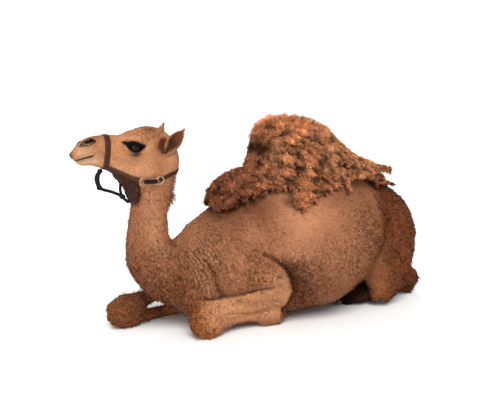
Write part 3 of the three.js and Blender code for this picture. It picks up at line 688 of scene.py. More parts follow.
# Each crease: its line, how far out it starts, its depth and its half width.
LEFT_CREASES = [
    ([(-413, 197), (-299, 206), (-221, 228), (-157, 240), (-123, 246), (-40, 240)], 200, 15, 9),
    ([(-350, 380), (-333, 330), (-329, 260), (-300, 215)], 170, 15, 10),
    ([(-314, 128), (-200, 110), (-88, 94)], 200, 7, 7),
    (LEFT_ELBOW, 225, 20, 13)]
RIGHT_CREASES = [
    ([(-590, 182), (-500, 190), (-400, 205), (-280, 220), (-170, 244)], 150, 10, 8),
    ([(-420, 360), (-408, 300), (-392, 240)], 150, 10, 9),
    (RIGHT_ELBOW, 215, 14, 12)]
HIND_CREASE = [(668, 660), (698, 605), (716, 560), (736, 495), (716, 450), (706, 410), (668, 326),
               (620, 262)]


def creases(points):
    """Sum of depth * exp(-(distance to the line / half width) ^ 2), each on its own side."""
    places, out = points[:, [0, 2]], np.abs(points[:, 1])
    depth = np.zeros(len(points))
    for lines, on_side in ((LEFT_CREASES, points[:, 1] < 0), (RIGHT_CREASES, points[:, 1] > 0)):
        for line, inner, deep, half in lines:
            away, _ = line_distance(places, line)
            depth += on_side * step(out, inner - 25, inner) * deep * peak(away, 0, half)
    away, _ = line_distance(places, HIND_CREASE)
    return depth + step(out, 110, 150) * 13 * peak(away, 0, 8)


def beside(points, left_line, right_line, width):
    """1 on a line of the side view, fading over width behind and above it and at once before it."""
    places = points[:, [0, 2]]
    shade = np.zeros(len(points))
    for line, on_side in ((left_line, points[:, 1] < 0), (right_line, points[:, 1] > 0)):
        line = np.asarray(line, float)
        away, _ = line_distance(places, line)
        after = places[:, 0] - np.interp(places[:, 1], line[::-1, 1], line[::-1, 0])
        near = (places[:, 1] > line[-1, 1] - 30) & (places[:, 1] < line[0, 1] + 60)
        upper = fade(places[:, 1], line[0, 1] - 90, line[0, 1] - 10)
        shade += on_side * near * upper * step(after, -6, 4) * peak(away, 0, width)
    return shade * step(np.abs(points[:, 1]), 190, 230)


print("creases:", len(LEFT_CREASES) + len(RIGHT_CREASES) + 2)

# %% Pleats of loose skin
def pleats(points, run, wavelength, seed):
    """Sharpened waves: 1 - |sin(phase / 2)| ^ 0.7, phase = 2 pi * across / wavelength + noise."""
    run = unit(np.asarray(run, float))
    across = np.array([run[2], 0, -run[0]])
    phase = 2 * math.pi * (points @ across) / wavelength
    phase = (phase + 2.2 * noise(points * (1 - 0.6 * np.abs(run)), 95, seed)
             + 0.8 * noise(points, 30, seed + 1))
    return 1 - np.abs(np.sin(phase / 2)) ** 0.7


def bell(points, centre, sizes):
    """A soft region: exp(-(x/a)^2 - (y/b)^2 - (z/c)^2) about a centre, on both sides."""
    return np.exp(-(((folded(points) - centre) / sizes) ** 2).sum(1))


def on_shoulder(points):
    """Where the neck bends into the shoulder."""
    return bell(points, (-375, -175, 380), (95, 130, 190))


def neck_pleats(points):
    """The pleats at the shoulder, from 0 on a crest to 1 in a groove."""
    return pleats(points, (0.3, 0, -1), 18, 3)


def lifted_edge(points):
    """The belly's edge rises off the floor: z + 36 * exp(-z / 60), in a bell round (240, 225)."""
    x, y, z = points.T
    here = np.exp(-((x - 240) / 150) ** 2 - ((np.abs(y) - 225) / 80) ** 2) * step(x, 105, 170)
    return np.stack([x, y, z + 36 * here * np.exp(-np.maximum(z, 0) / 60)], 1)


# Where skin is pleated: depth, centre, sizes, the way the pleats run, their wavelength and seed.
PLEATED = [(3.0, (-430, -110, 520), (80, 90, 70), (0.5, 0, -1), 16, 9),
           (3.2, (70, -300, 300), (120, 150, 120), (0.3, 0, -1), 24, 5),
           (3.0, (640, -330, 330), (90, 120, 140), (-0.35, 0, -1), 24, 6),
           (3.0, (-150, -300, 350), (110, 90, 70), (1, 0, 0.35), 19, 7),
           (3.2, (-20, -290, 150), (90, 80, 60), (1, 0, -0.5), 15, 8)]
depth = 9.0 * on_shoulder(points) * neck_pleats(points)
for deep, centre, sizes, *waves in PLEATED:
    depth += deep * bell(points, centre, sizes) * pleats(points, *waves)
depth += creases(points)
fuller = (12 * bell(points, (-350, 0, 545), (120, 90, 55))
          + 13 * bell(points, (-705, 0, 400), (60, 80, 120)))
depth -= fuller
depth -= 20 * bell(points, (-310, 0, 610), (60, 80, 60))
depth += trunk_share(points) * (2.0 * noise(points, 120, 21) + 0.9 * noise(points, 34, 22))
points = inward(points, normals_of(skin_mesh), depth * (1 - headness(points)))
points = above_floor(lifted_edge(points))
put_points(skin_mesh, points)
print("deepest pleat", round(float(depth.max()), 1), "mm")

# %% [markdown]
# A mesh this fine is heavy, and a flat flank doesn't need it. Blender's Decimate removes faces
# where they say least. A vertex group tells it to leave the head and the pleats almost alone, and
# edges shorter than a fifth of a millimetre are dissolved afterwards.

# %% Fewer faces where the skin is plain
SKIN_TRIANGLES = 178000
LEVELS = 5
SHORTEST_EDGE = 0.0002
skin = bpy.data.objects.new("skin_draft", skin_mesh)
bpy.context.scene.collection.objects.link(skin)
triangles = len(read(skin_mesh, "triangles")[1])
keep = np.clip(headness(points) + 0.8 * on_shoulder(points) + 0.5 * on_wrinkles(points), 0, 1)
group = skin.vertex_groups.new(name="fine")
for level in range(1, LEVELS + 1):
    chosen = np.flatnonzero(np.round(keep * LEVELS) == level)
    group.add(chosen.tolist(), level / LEVELS, "REPLACE")
decimate = skin.modifiers.new("fewer", "DECIMATE")
decimate.ratio = SKIN_TRIANGLES / triangles
decimate.vertex_group = "fine"
decimate.invert_vertex_group = True
decimate.vertex_group_factor = 0.5
decimate.use_collapse_triangulate = True
thinned = finished(skin)
bm = bmesh.new()
bm.from_mesh(thinned)
bmesh.ops.dissolve_degenerate(bm, dist=SHORTEST_EDGE, edges=bm.edges)
bm.to_mesh(thinned)
bm.free()
skin_points, skin_faces = read(thinned, "triangles")
skin_points = above_floor(skin_points)
bpy.data.objects.remove(skin)
print("skin:", triangles, "->", len(skin_faces), "triangles")

# %% [markdown]
# An ear is a leaf rolled into a cup. Its section is an open ring: the outer side runs one way and
# the inner side comes back inside it, so the ear is as thick as a real one and closed all round.

# %% Ears
EAR_ROOT = np.array([-516.0, -82.0, 975.0])
EAR_WALL = 3.4
ear_up = unit(np.array([66.0, -40.0, 96.0]))
ear_opens = np.array([-0.45, -0.85, 0.1])
ear_back = unit(-ear_opens + ear_up * (ear_opens @ ear_up))
ear_side = np.cross(ear_back, ear_up)


def ear_place(across, back, height):
    """Root + side * across + back * back + up * height."""
    across, back, height = (np.asarray(size)[..., None] for size in (across, back, height))
    return EAR_ROOT + across * ear_side + back * ear_back + height * ear_up


def ear_lean(height):
    """How far an ear bends back at a height: 6 * sin(height / 60)."""
    return 6 * np.sin(height / 60)


EAR_COLUMNS = 33
# Rows of height, half width, depth and half the angle of the section.
ear_profile = spline([(-30, 20, 17, 150), (0, 28, 21, 138), (30, 35, 22, 120), (58, 35, 19, 104),
                      (84, 27, 14, 92), (104, 15, 9, 84), (119, 5, 4, 76), (124, 1.5, 1.5, 70)], 44)


def ear():
    """section(a) = (half width * sin a, depth * cos a) for |a| up to the opening's angle."""
    height, width, depth, reach = (column[:, None] for column in ear_profile.T)
    a = np.linspace(-1, 1, EAR_COLUMNS)[None] * np.radians(reach)
    wall = np.minimum(EAR_WALL, width * 0.4)
    lean = ear_lean(height)
    outer = ear_place(width * np.sin(a), depth * np.cos(a) + lean, height + 0 * a)
    inner = ear_place((width - wall) * np.sin(a), (depth - wall) * np.cos(a) + lean, height + 0 * a)
    return capped(np.concatenate([outer, inner[:, ::-1]], axis=1))


ears = [ear(), mirrored(ear())]
print("ear height", round(float(np.ptp(ears[0][0][:, 2]))), "mm")

# %% [markdown]
# ## Colours of the coat
# Skin and hair carry the same markings, so one function of the place gives the colour, and both
# store it in an attribute named tone. The head is pale sand, the neck and shoulder are tan, the
# hide is redder on the thigh and the knees are ochre. Painted shade is laid in as well: the hide
# is darker under the wool and along its edge, in creases and in the pleats' grooves, whose crests
# get a painted highlight, behind the elbow, down the neck's front, low on the belly and on the hind
# foot under it. It is nearly black in the nostrils and between the lips, where this is painted
# shade, and round the eyes, where dark skin and painted shade meet.

# %% The outline of the wool
LEFT_EDGE = [(-246, 612), (-196, 655), (-120, 690), (-40, 715), (50, 730), (108, 722), (118, 680),
             (134, 622), (180, 630), (235, 660), (275, 672), (300, 695), (404, 706), (490, 700),
             (530, 728), (600, 745), (640, 735), (720, 694), (800, 657), (932, 600), (934, 642),
             (820, 702), (740, 736), (680, 764), (745, 752), (830, 728), (935, 700)]
RIGHT_EDGE = [(-205, 630), (-130, 668), (-40, 690), (80, 700), (200, 676), (320, 660), (420, 700),
              (520, 705), (640, 700), (760, 660), (880, 600)]
OVER_THE_BACK = [(990, 760), (900, 1300), (-290, 1300), (-266, 690)]


def wool_depth(points):
    """How deep a place lies inside the wool's ragged outline, negative outside."""
    places = points[:, [0, 2]] + 14 * np.stack([noise(points, 60, 31), noise(points, 45, 32)], 1)
    places = places + 5 * drift(points, 18, (33, 34))
    left = outline_depth(places, LEFT_EDGE + OVER_THE_BACK)
    right = outline_depth(places, RIGHT_EDGE + OVER_THE_BACK)
    return np.where(points[:, 1] < 0, left, right)


print("the wool's edge on the left has", len(LEFT_EDGE), "corners")

# %% Colours and how they are laid
def linear(red, green, blue):
    """A colour picked in the screen's 0 to 255 scale, as light: ((c + 0.055) / 1.055) ^ 2.4."""
    return ((np.array([red, green, blue]) / 255 + 0.055) / 1.055) ** 2.4


SAND = linear(186, 132, 93)
TAN = linear(166, 112, 80)
BROWN = linear(132, 80, 52)
DARK_BROWN = linear(82, 41, 24)
RED_BROWN = linear(116, 63, 39)
OCHRE = linear(174, 106, 54)
PALE = linear(200, 166, 132)
# nearly black, both for dark skin and for painted shade
BLACK_SKIN_AND_SHADE = linear(16, 10, 8)
# The outline painted dark round the eye: dark lid skin, and painted shade of brow and lashes.
EYE_DARK = spline([(-748, 1027), (-722, 1031), (-700, 1031), (-670, 1018), (-640, 1005),
                   (-662, 985), (-682, 978), (-705, 980), (-722, 992), (-738, 1012),
                   (-748, 1027)], 49)[:-1]


def blend(base, colour, amount):
    """base + amount * (colour - base), point by point."""
    return base + np.clip(amount, 0, 1)[:, None] * (colour - base)


def painted(colour, *coats):
    """The coats, each a colour and its amount, blended over one another in their order."""
    for shade, amount in coats:
        colour = blend(colour, shade, amount)
    return colour


def mottled(points, size, seed, contrast):
    """A slow field between 0 and 1: (1 + tanh(contrast * noise)) / 2."""
    return 0.5 + 0.5 * np.tanh(contrast * noise(points, size, seed))


print("sand:", SAND.round(3), "tan:", TAN.round(3))

# %% The body's markings and painted shade
def body_tone(points):
    """The trunk, neck and legs: soft regions of colour laid over one another, some of them painted
    shade and one a painted highlight.
    """
    x, y, z = points.T
    out, on_left = np.abs(y), y < 0
    at = lambda *region: bell(points, *region)
    streaky = mottled(points * [1, 1, 0.4], 70, 45, 1.5)
    # under: the hind foot beneath the belly, painted nearly black as shadow
    under = fade(z, 110, 160) * step(x, 400, 460) * fade(x, 690, 760) * fade(out, 222, 262)
    neck_bend, grooves = on_shoulder(points), neck_pleats(points)
    # elbow: bands behind each elbow's rear edge, for dark curly hair and painted shade
    elbow = [beside(points, LEFT_ELBOW, RIGHT_ELBOW, width) for width in (62, 110)]
    arm_top = np.interp(x, [-413, -299, -221, -123, -22, 90], [197, 206, 228, 246, 240, 215])
    arm_end = np.interp(z, [50, 127, 205, 280], [58, 78, 80, 60])
    over_arm, to_arm_end = np.maximum(z - arm_top, 0), fade(x - arm_end, -20, 0)
    forearm = on_left * step(out, 190, 215) * fade(z - arm_top, -8, 6) * step(x, -420, -370)
    arm_shadow = on_left * step(out, 150, 200) * step(z - arm_top, -2, 8) * np.exp(-over_arm / 38)
    covered, high = wool_depth(points), step(z, 540, 600)
    return painted(
        np.repeat(TAN[None], len(points), 0),
        (BROWN, 0.35 * mottled(points, 240, 41, 1.2)),
        # painted shade: the lower trunk behind the elbow darker towards the floor
        (BROWN, 0.55 * fade(z, 180, 420) * step(x, 60, 240)),
        (BROWN, 0.4 * step(x, 330, 520) * fade(z, 560, 700)),
        (DARK_BROWN, 0.75 * step(z, 500, 640) * step(x, -400, -240) * fade(x, -60, 90)),
        (DARK_BROWN, 0.35 * step(z, 600, 700) * step(x, 60, 200)),
        (RED_BROWN, 0.55 * streaky * at((-190, -240, 500), (130, 150, 130))),
        (BROWN, 0.6 * at((-25, -260, 500), (42, 150, 110))),
        (SAND, 0.45 * at((190, -290, 590), (120, 150, 90))),
        (OCHRE, 0.3 * at((-130, -280, 330), (110, 120, 80))),
        (BROWN, 0.35 * streaky * at((480, -330, 520), (160, 150, 130))),
        (RED_BROWN, 0.9 * step(x, 640, 730)),
        (DARK_BROWN, 0.35 * step(x, 680, 760) * step(z, 480, 620)),
        # behind the elbow: dark curly hair, and painted shade that the elbow throws on the belly
        (DARK_BROWN, 0.85 * elbow[0] * step(z, 110, 200)),
        (DARK_BROWN, 0.3 * elbow[1]),
        # painted shade low on the belly, near the floor
        (DARK_BROWN, 0.5 * fade(z, 40, 150) * step(x, 100, 220)),
        (OCHRE, 0.45 * at((670, -300, 90), (60, 60, 60))),
        # painted shadow on the hind foot under the belly
        (0.12 * DARK_BROWN, under),
        # painted shade down the neck's front, its shadow side
        (BROWN, 0.6 * fade(x, -660, -610) * step(z, 250, 340) * fade(z, 690, 780)),
        (BROWN, 0.85 * fade(x, -430, -360) * fade(z, 260, 470)),
        (SAND, 0.6 * at((-600, -80, 620), (80, 80, 170))),
        (BROWN, 0.5 * neck_bend),
        # painted shade in the pleats' grooves and painted highlight on their crests
        (DARK_BROWN, 1.5 * neck_bend * grooves ** 2),
        (SAND, 0.5 * neck_bend * (1 - grooves) ** 3),
        (1.2 * OCHRE, 0.95 * at((-395, -205, 90), (70, 80, 105))),
        (BROWN, 0.9 * fade(x, -560, -460) * fade(z, 190, 260)),
        (OCHRE, 0.25 * at((-715, -160, 70), (60, 70, 90))),
        (1.12 * SAND, 0.85 * forearm * fade(x - arm_end, -14, 0) * step(z, 40, 90)),
        (DARK_BROWN, 0.65 * arm_shadow * step(x, -440, -400) * fade(x, -170, -70)),
        (SAND, on_left * 0.6 * to_arm_end * at((15, -300, 270), (75, 70, 70))),
        (1.1 * SAND, on_left * 0.6 * to_arm_end * at((20, -280, 150), (50, 60, 90))),
        # painted shade in the creases, as deep as they are
        (DARK_BROWN, np.clip(creases(points) / 13, 0, 1) ** 2 * 0.55),
        # just below the wool's edge: painted shadow of the wool's rim, and dirt
        (DARK_BROWN, 0.7 * peak(np.minimum(covered, 0), 0, 14) * high),
        # painted shade on the hide under the wool, seen only through its gaps
        (0.4 * DARK_BROWN, step(covered, 2, 14) * high))


print("the left knee is", body_tone(np.array([[-400.0, -260, 80]])).round(3))

# %% The head's markings and painted shade
def head_tone(points, colour):
    """The head's sand colour, with dark skin and painted shade round the eye and painted shade in
    the nostrils and between the lips, laid over the body's colour.
    """
    side, face = folded(points), headness(points)
    places, out = side[:, [0, 2]], -side[:, 1]
    x, z = places.T
    at = lambda *region: bell(points, *region)
    spots = step(noise(points, 13, 44), 0.1, 1.1)
    chin = fade(z - (952 + 0.22 * (x + 985)), -6, 6) * fade(x, -900, -830)
    near_eye, dark = face * step(out, 40, 55), outline_depth(places, EYE_DARK)
    outer, hole = face * step(out, 10, 22), outline_depth(places, NOSTRIL)
    lower, _ = line_distance(places, NOSTRIL_BOTTOM)
    mouth, back = line_distance(places, MOUTH)
    return painted(
        colour,
        (SAND, face),
        (TAN, face * 0.5 * mottled(points, 70, 43, 1.0)),
        (BROWN, face * spots * (0.28 + 0.5 * at((-790, -45, 897), (70, 60, 20)))),
        (RED_BROWN, face * spots * 0.9 * at((-620, -60, 1055), (75, 60, 38))),
        (BROWN, face * 0.8 * at((-915, -20, 1040), (75, 50, 30))),
        (BROWN, face * 0.6 * at((-850, 0, 1058), (60, 40, 22))),
        (RED_BROWN, face * 0.45 * at((-588, -50, 1065), (62, 70, 42))),
        (0.8 * DARK_BROWN, face * 0.95 * at((-546, -90, 992), (36, 60, 44))),
        (RED_BROWN, face * 0.35 * at((-560, -80, 900), (30, 60, 90))),
        (OCHRE, face * 0.35 * at((-760, -50, 1000), (40, 60, 50))),
        (BROWN, face * 0.5 * at((-860, -45, 965), (60, 40, 26))),
        (PALE, face * 0.6 * chin),
        (PALE, face * 0.45 * at((-935, -40, 990), (50, 40, 22))),
        (PALE, face * 0.5 * at((-735, -60, 1046), (26, 30, 9))),
        (PALE, face * 0.35 * at((-800, -50, 900), (70, 40, 14))),
        # round the eye: dark lid skin, and painted shade under the brow and lashes
        (DARK_BROWN, near_eye * 0.7 * step(dark, -11, -1)),
        (BLACK_SKIN_AND_SHADE, near_eye * step(dark, -3.5, 1.5)),
        # painted shade below the eye
        (BLACK_SKIN_AND_SHADE, near_eye * 0.85 * at((-688, -90, 964), (25, 60, 15))),
        # painted shade in the nostril and round it
        (DARK_BROWN, outer * 0.6 * step(hole, -9, 0)),
        (BLACK_SKIN_AND_SHADE, outer * step(hole, -4.0, 0.0)),
        (PALE, outer * 0.7 * peak(hole, -4.5, 2) * fade(z, 1034, 1042)),
        # painted shade along the groove under the nostril's flap
        (BLACK_SKIN_AND_SHADE, outer * 0.95 * peak(lower, 0, 3.4)),
        # painted shade in the groove between the lips
        (BLACK_SKIN_AND_SHADE, face * fade(back, 0.85, 1) * 0.98 * peak(mouth, 0, 5.6)),
        (BLACK_SKIN_AND_SHADE, face * 0.9 * at((-1002, 0, 974), (22, 34, 28))))


def tone(points):
    """The colour of skin and hair at each place."""
    return head_tone(points, body_tone(points))


print("the left cheek is", tone(np.array([[-620.0, -90, 900]])).round(3))

# %% Where the fleece is curly
def curliness(points):
    """How curly the short fleece is: smooth on the face, most curled behind the elbow."""
    x, _, z = points.T
    at = lambda *region: bell(points, *region)
    amount = 0.25 + 0.9 * beside(points, LEFT_ELBOW, RIGHT_ELBOW, 120)
    amount += 0.55 * at((540, -360, 470), (150, 160, 170))
    amount += 0.4 * at((330, -370, 320), (260, 200, 150))
    amount += 0.5 * step(x, 640, 740) + 0.5 * on_shoulder(points)
    amount += 0.5 * at((-395, -205, 90), (90, 90, 120))
    amount += 0.5 * at((-150, -290, 340), (140, 100, 90))
    amount += 0.35 * at((-260, -200, 560), (110, 120, 90))
    on_neck = fade(x, -480, -400)
    amount += 0.15 * on_neck + 0.35 * on_neck * fade(z, 380, 560)
    amount *= 1 - 0.7 * at((180, -310, 590), (180, 150, 90))
    return np.clip(amount, 0, 1) * (1 - 0.75 * headness(points))


print("behind the left elbow it is", curliness(np.array([[90.0, -260, 180]])).round(2))

# %% [markdown]
# ## Finishes
# A material is a little network of nodes. Written as Python it reads like a formula: `Flow` wraps
# a node's output, and adding or multiplying flows adds the Math nodes behind the scenes. Any other
# node comes from `Finish.node`, which takes its type, its settings and its inputs.

# %% A small language for materials
class Flow:
    """A number that flows out of a node and can be used in sums and products."""

    def __init__(self, finish, socket):
        """The finish it belongs to, and the node's output."""
        self.finish, self.socket = finish, socket

    def __add__(self, other):
        """self + other"""
        return self.finish.math("ADD", self, other)

    def __sub__(self, other):
        """self - other"""
        return self.finish.math("SUBTRACT", self, other)

    def __rsub__(self, other):
        """other - self"""
        return self.finish.math("SUBTRACT", other, self)

    def __mul__(self, other):
        """self * other"""
        return self.finish.math("MULTIPLY", self, other)

    __radd__ = __add__
    __rmul__ = __mul__


class Finish:
    """A material, its Principled shader, and the nodes made for it."""

    def __init__(self, name, **constants):
        """Constants are inputs of the shader that stay the same all over."""
        self.material = bpy.data.materials.new(name)
        self.material.use_nodes = True
        self.tree = self.material.node_tree
        self.shader = self.tree.nodes["Principled BSDF"]
        for socket, value in constants.items():
            self.shader.inputs[socket.replace("_", " ")].default_value = value

    def fill(self, socket, value):
        """Gives a node's input a flow, a colour or a number."""
        if isinstance(value, Flow):
            self.tree.links.new(value.socket, socket)
        elif hasattr(socket.default_value, "__len__"):
            plain = [float(part) for part in value]
            socket.default_value = (plain + [1.0])[:len(socket.default_value)]
        else:
            socket.default_value = value

    def node(self, kind, settings=None, inputs=None, output=0):
        """A node of a kind: first its settings, then its inputs, and one of its outputs."""
        made = self.tree.nodes.new("ShaderNode" + kind)
        for setting, value in (settings or {}).items():
            setattr(made, setting, value)
        for socket, value in (inputs or {}).items():
            self.fill(made.inputs[socket], value)
        return Flow(self, made.outputs[output])

    def math(self, operation, *values):
        """One step of arithmetic."""
        return self.node("Math", {"operation": operation}, dict(enumerate(values)))

    def place(self, scale=(1, 1, 1), turn=(0, 0, 0)):
        """Object coordinates, turned and then stretched."""
        spot = self.node("TexCoord", output="Object")
        return self.node("Mapping", None, {"Vector": spot, "Scale": scale, "Rotation": turn})

    def noise(self, size, detail=3.0, roughness=0.5, where=None, bend=0.0):
        """Noise whose lumps are about size metres across, from 0 to 1."""
        return self.node("TexNoise", None, {
            "Vector": where or self.place(), "Scale": 1 / size,
            "Detail": detail, "Roughness": roughness, "Distortion": bend})

    def cells(self, size):
        """Distance to the nearest of many points, about size metres apart."""
        inputs = {"Vector": self.place(), "Scale": 1 / size}
        return self.node("TexVoronoi", None, inputs, "Distance")

    def between(self, value, low, high):
        """0 below low, 1 above high, smooth between."""
        return self.node("MapRange", {"interpolation_type": "SMOOTHSTEP"},
                         {"Value": value, "From Min": low, "From Max": high})

    def mix(self, amount, first, second):
        """Two colours mixed."""
        return self.node("Mix", {"data_type": "RGBA"}, {0: amount, 6: first, 7: second}, 2)

    def tone(self):
        """The colour that the mesh carries."""
        return self.node("Attribute", {"attribute_name": "tone"}, output="Color")

    def brightness(self, colour, amount):
        """A colour made lighter or darker by a factor near 1."""
        return self.node("HueSaturation", None, {"Color": colour, "Value": amount})

    def bump(self, height, distance, below=None):
        """Relief, so many metres high, on top of a coarser relief."""
        inputs = {"Height": height, "Distance": distance}
        if below:
            inputs["Normal"] = below
        return self.node("Bump", None, inputs)

    def set(self, socket, value):
        """Fills an input of the shader."""
        self.fill(self.shader.inputs[socket], value)


def carry_tone(obj, colours, curly=1.0):
    """Stores each point's colour, and its curliness as alpha, in the attribute named tone."""
    layer = obj.data.attributes.new("tone", "FLOAT_COLOR", "POINT")
    filled = np.concatenate([colours, np.broadcast_to(curly, len(colours))[:, None]], 1)
    layer.data.foreach_set("color", filled.astype(np.float32).ravel())


print("nodes are made by", Finish.node.__name__)

# %% [markdown]
# The hide is covered with short, curled fleece. From a few steps away its curls show as a net of
# dark, bent gaps a few millimetres wide. The places where a noise field crosses its middle value
# are such bent lines, so the gaps are where |noise - 0.5| is small. The curls' colour, with
# painted shade darkening the gaps, and their relief both come from them, weaker where the mesh
# says that the hair lies smooth.

# %% Hide
hide = Finish("hide", Roughness=0.82, Specular_IOR_Level=0.07)
curly = hide.node("Attribute", {"attribute_name": "tone"}, output="Alpha")
large = hide.noise(0.10, 3)
curls = hide.noise(0.019, 2, 0.5, hide.place((1, 1, 0.75), (0, 0.4, 0)), 1.5)
small = hide.noise(0.008, 3, 0.6, None, 1.2)
nap = hide.noise(0.0024, 3, 0.6, hide.place((0.4, 1, 1), (0, 0.5, 0)))
# the gaps between curls, which are darkened below as painted shade
gaps = 1 - hide.between(hide.math("ABSOLUTE", curls - 0.5), 0.0, 0.075)
gaps = gaps * hide.between(small, 0.36, 0.55) * curly
# brightness: slow and fine changes of tone, minus painted shade in the gaps between curls
light = 0.85 + 0.34 * large + (1.1 + 2.4 * curly) * (small - 0.5) + 0.6 * (nap - 0.5) - 0.7 * gaps
hide.set("Base Color", hide.brightness(hide.tone(), light))
hide.set("Roughness", 0.78 + 0.18 * gaps)
fleece = hide.bump((0.3 + 0.9 * curly) * (small + 0.6 * curls) - gaps, 0.006)
hide.set("Normal", hide.bump(nap, 0.0012, fleece))
print("hide nodes:", len(hide.tree.nodes))

# %% The skin as a piece
def ear_tone():
    """Brown outside and pale along its rim. Inside the cup nearly black: dark hair, and painted
    shade that deepens towards the base.
    """
    rings, half = len(ear_profile), EAR_COLUMNS
    column = np.abs(np.linspace(-1, 1, half))[None, :, None] ** 10
    height = np.linspace(0, 1, rings)[:, None, None]
    outer = TAN * 0.8 + column * (SAND - TAN)
    # inside the cup: dark hair, and painted shade that is darkest near the base
    inner = (DARK_BROWN * (0.3 + 0.8 * height) + height**1.5 * 0.45 * TAN
             + column * (BROWN - DARK_BROWN))
    both = np.concatenate([outer + 0 * height, inner[:, ::-1]], 1).reshape(-1, 3)
    return np.concatenate([both, np.repeat(TAN[None], 2, 0)])


points, faces = joined([(skin_points, skin_faces), *ears])
skin = make("skin", points, faces, hide.material, "coat")
colours = tone(points)
for ear_start in (len(skin_points), len(skin_points) + len(ears[0][0])):
    rows = slice(ear_start, ear_start + len(ears[0][0]))
    colours[rows] = ear_tone()
carry_tone(skin, colours, curliness(points))
IN_PAIRS = ("ear", "upper_arm", "forearm", "knee", "cannon", "foot",
            "thigh", "shank", "hock", "metatarsus", "hind_foot")
pairs = [f"{side}_{part}" for side, _ in EACH_SIDE for part in IN_PAIRS]
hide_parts("torso", "neck_lower", "neck_upper", "head", "tail", *pairs)
print("skin:", len(faces), "triangles")

# %% [markdown]
# ## Wool
# The wool over the hump and the back was never shorn. It is a felt of many fine, curled fibres
# that cling together in locks. A felted base a few centimetres thick carries it: the trunk's
# volumes again, larger by the base's depth, cut out along a ragged line. Locks then stand on the
# base, and those of one clump lean together, which leaves gaps between clumps. The base seen in
# them is painted darker, as shade.

# %% Volumes under the wool
WOOL_BASE = 20.0
WOOL_VOXEL = 9.0
withers_rows = stations(
    (-240, 704, -215, 500, 0, 110, 0.4), (-205, 758, -185, 500, 0, 165, 0.4),
    (-150, 793, -140, 500, 0, 185, 0.4), (-80, 819, -80, 500, 0, 205, 0.4),
    (0, 838, 0, 500, 0, 215, 0.4), (60, 850, 60, 500, 0, 215, 0.4))
FLAPS = [[(480, -215, 850), (560, -206, 832), (640, -186, 806), (720, -156, 778), (800, -122, 756),
          (880, -84, 738)],
         [(520, -232, 790), (600, -222, 772), (690, -196, 738), (770, -168, 704), (840, -134, 672),
          (922, -100, 624)]]
flaps = [tube(spline(path, 40), np.linspace(32, 22, 40), np.linspace(21, 14, 40), 16, (0, 0.25, 1))
         for path in FLAPS]
base_mesh = wrapped([*trunk(WOOL_BASE), loft(withers_rows, (30, 30), -8), *flaps],
                    WOOL_VOXEL)
base_points, base_quads = read(base_mesh)
base_edges = edges_of(base_mesh)
base_points = relax(base_points, base_edges, np.full(len(base_points), 0.5), 6)
put_points(base_mesh, base_points)
print("wool base:", len(base_points), "points before it is cut out")

# %% The felted base
def border(faces, count):
    """The sides that only one face has, each from its first point to its second."""
    sides = faces[:, [0, 1, 1, 2, 2, 0]].reshape(-1, 2)
    either_way = np.sort(sides, 1) @ [count, 1]
    _, first, times = np.unique(either_way, return_index=True, return_counts=True)
    return sides[first[times == 1]]


def largest(faces, count):
    """The faces of the largest connected part. Each point takes the lowest number that it can
    reach, and the faces whose number is the most common one are kept."""
    label, before = np.arange(count), None
    while before is None or (label != before).any():
        before = label.copy()
        np.minimum.at(label, faces.ravel(), np.repeat(label[faces].min(1), 3))
        label = label[label]
    return faces[label[faces[:, 0]] == np.bincount(label[faces[:, 0]]).argmax()]


def sheet(points, faces, keep, normals, thickness):
    """The faces to keep, a copy of them deeper by each point's thickness, and a rim between.
    Faces at points where the border would touch itself are left out."""
    faces = largest(faces[keep[faces].all(1)], len(points))
    for _ in range(6):
        touching = np.bincount(border(faces, len(points))[:, 0], minlength=len(points)) > 1
        faces = largest(faces[~touching[faces].any(1)], len(points))
    used, faces = np.unique(faces, return_inverse=True)
    faces = faces.reshape(-1, 3)
    outer, count = points[used], len(used)
    inner = outer - normals[used] * thickness[used, None]
    a, b = border(faces, count).T
    rim = np.concatenate([np.stack([b, a, a + count], 1), np.stack([b, a + count, b + count], 1)])
    faces = np.concatenate([faces, faces[:, ::-1] + count, rim])
    return np.concatenate([outer, inner]), faces, used


def clumped(points):
    """Lumps of felt in three sizes, drawn out the way the wool hangs and sharper in the creases
    than on the crests."""
    hang = unit(np.array([0.75, 0.0, -0.65]))
    drawn = points - 0.55 * (points @ hang)[:, None] * hang
    soft = 4 * noise(points, 95, 51) + 4.5 * noise(drawn, 34, 52) + 3.5 * noise(drawn, 16, 53)
    return np.where(soft < 0, 1.4 * soft, 0.5 * soft)


HOLLOW = ((18, -62, 930), (48, 85, 38))
base_normals = normals_of(base_mesh)
lumps = clumped(base_points) - 9 * bell(base_points, *HOLLOW)
fuller = (9 * bell(base_points, (450, 0, 990), (130, 110, 110))
          + 12 * bell(base_points, (-5, -10, 1000), (45, 80, 50)))
base_triangles = np.concatenate([base_quads[:, [0, 1, 2]], base_quads[:, [0, 2, 3]]])
inside_wool = wool_depth(base_points) > 0
base_outer = base_points + base_normals * (lumps + fuller)[:, None]
thick = 26 - 18.5 * step(base_points[:, 0], 430, 520)  # the rear flaps are thin
wool_points, wool_faces, used = sheet(base_outer, base_triangles, inside_wool, base_normals, thick)
lumps = np.tile(lumps[used], 2)
print("felt:", len(wool_faces), "triangles")

# %% Wool finish
WOOL = linear(174, 110, 72)
WOOL_DARK = linear(100, 52, 32)
WOOL_PALE = linear(204, 146, 102)


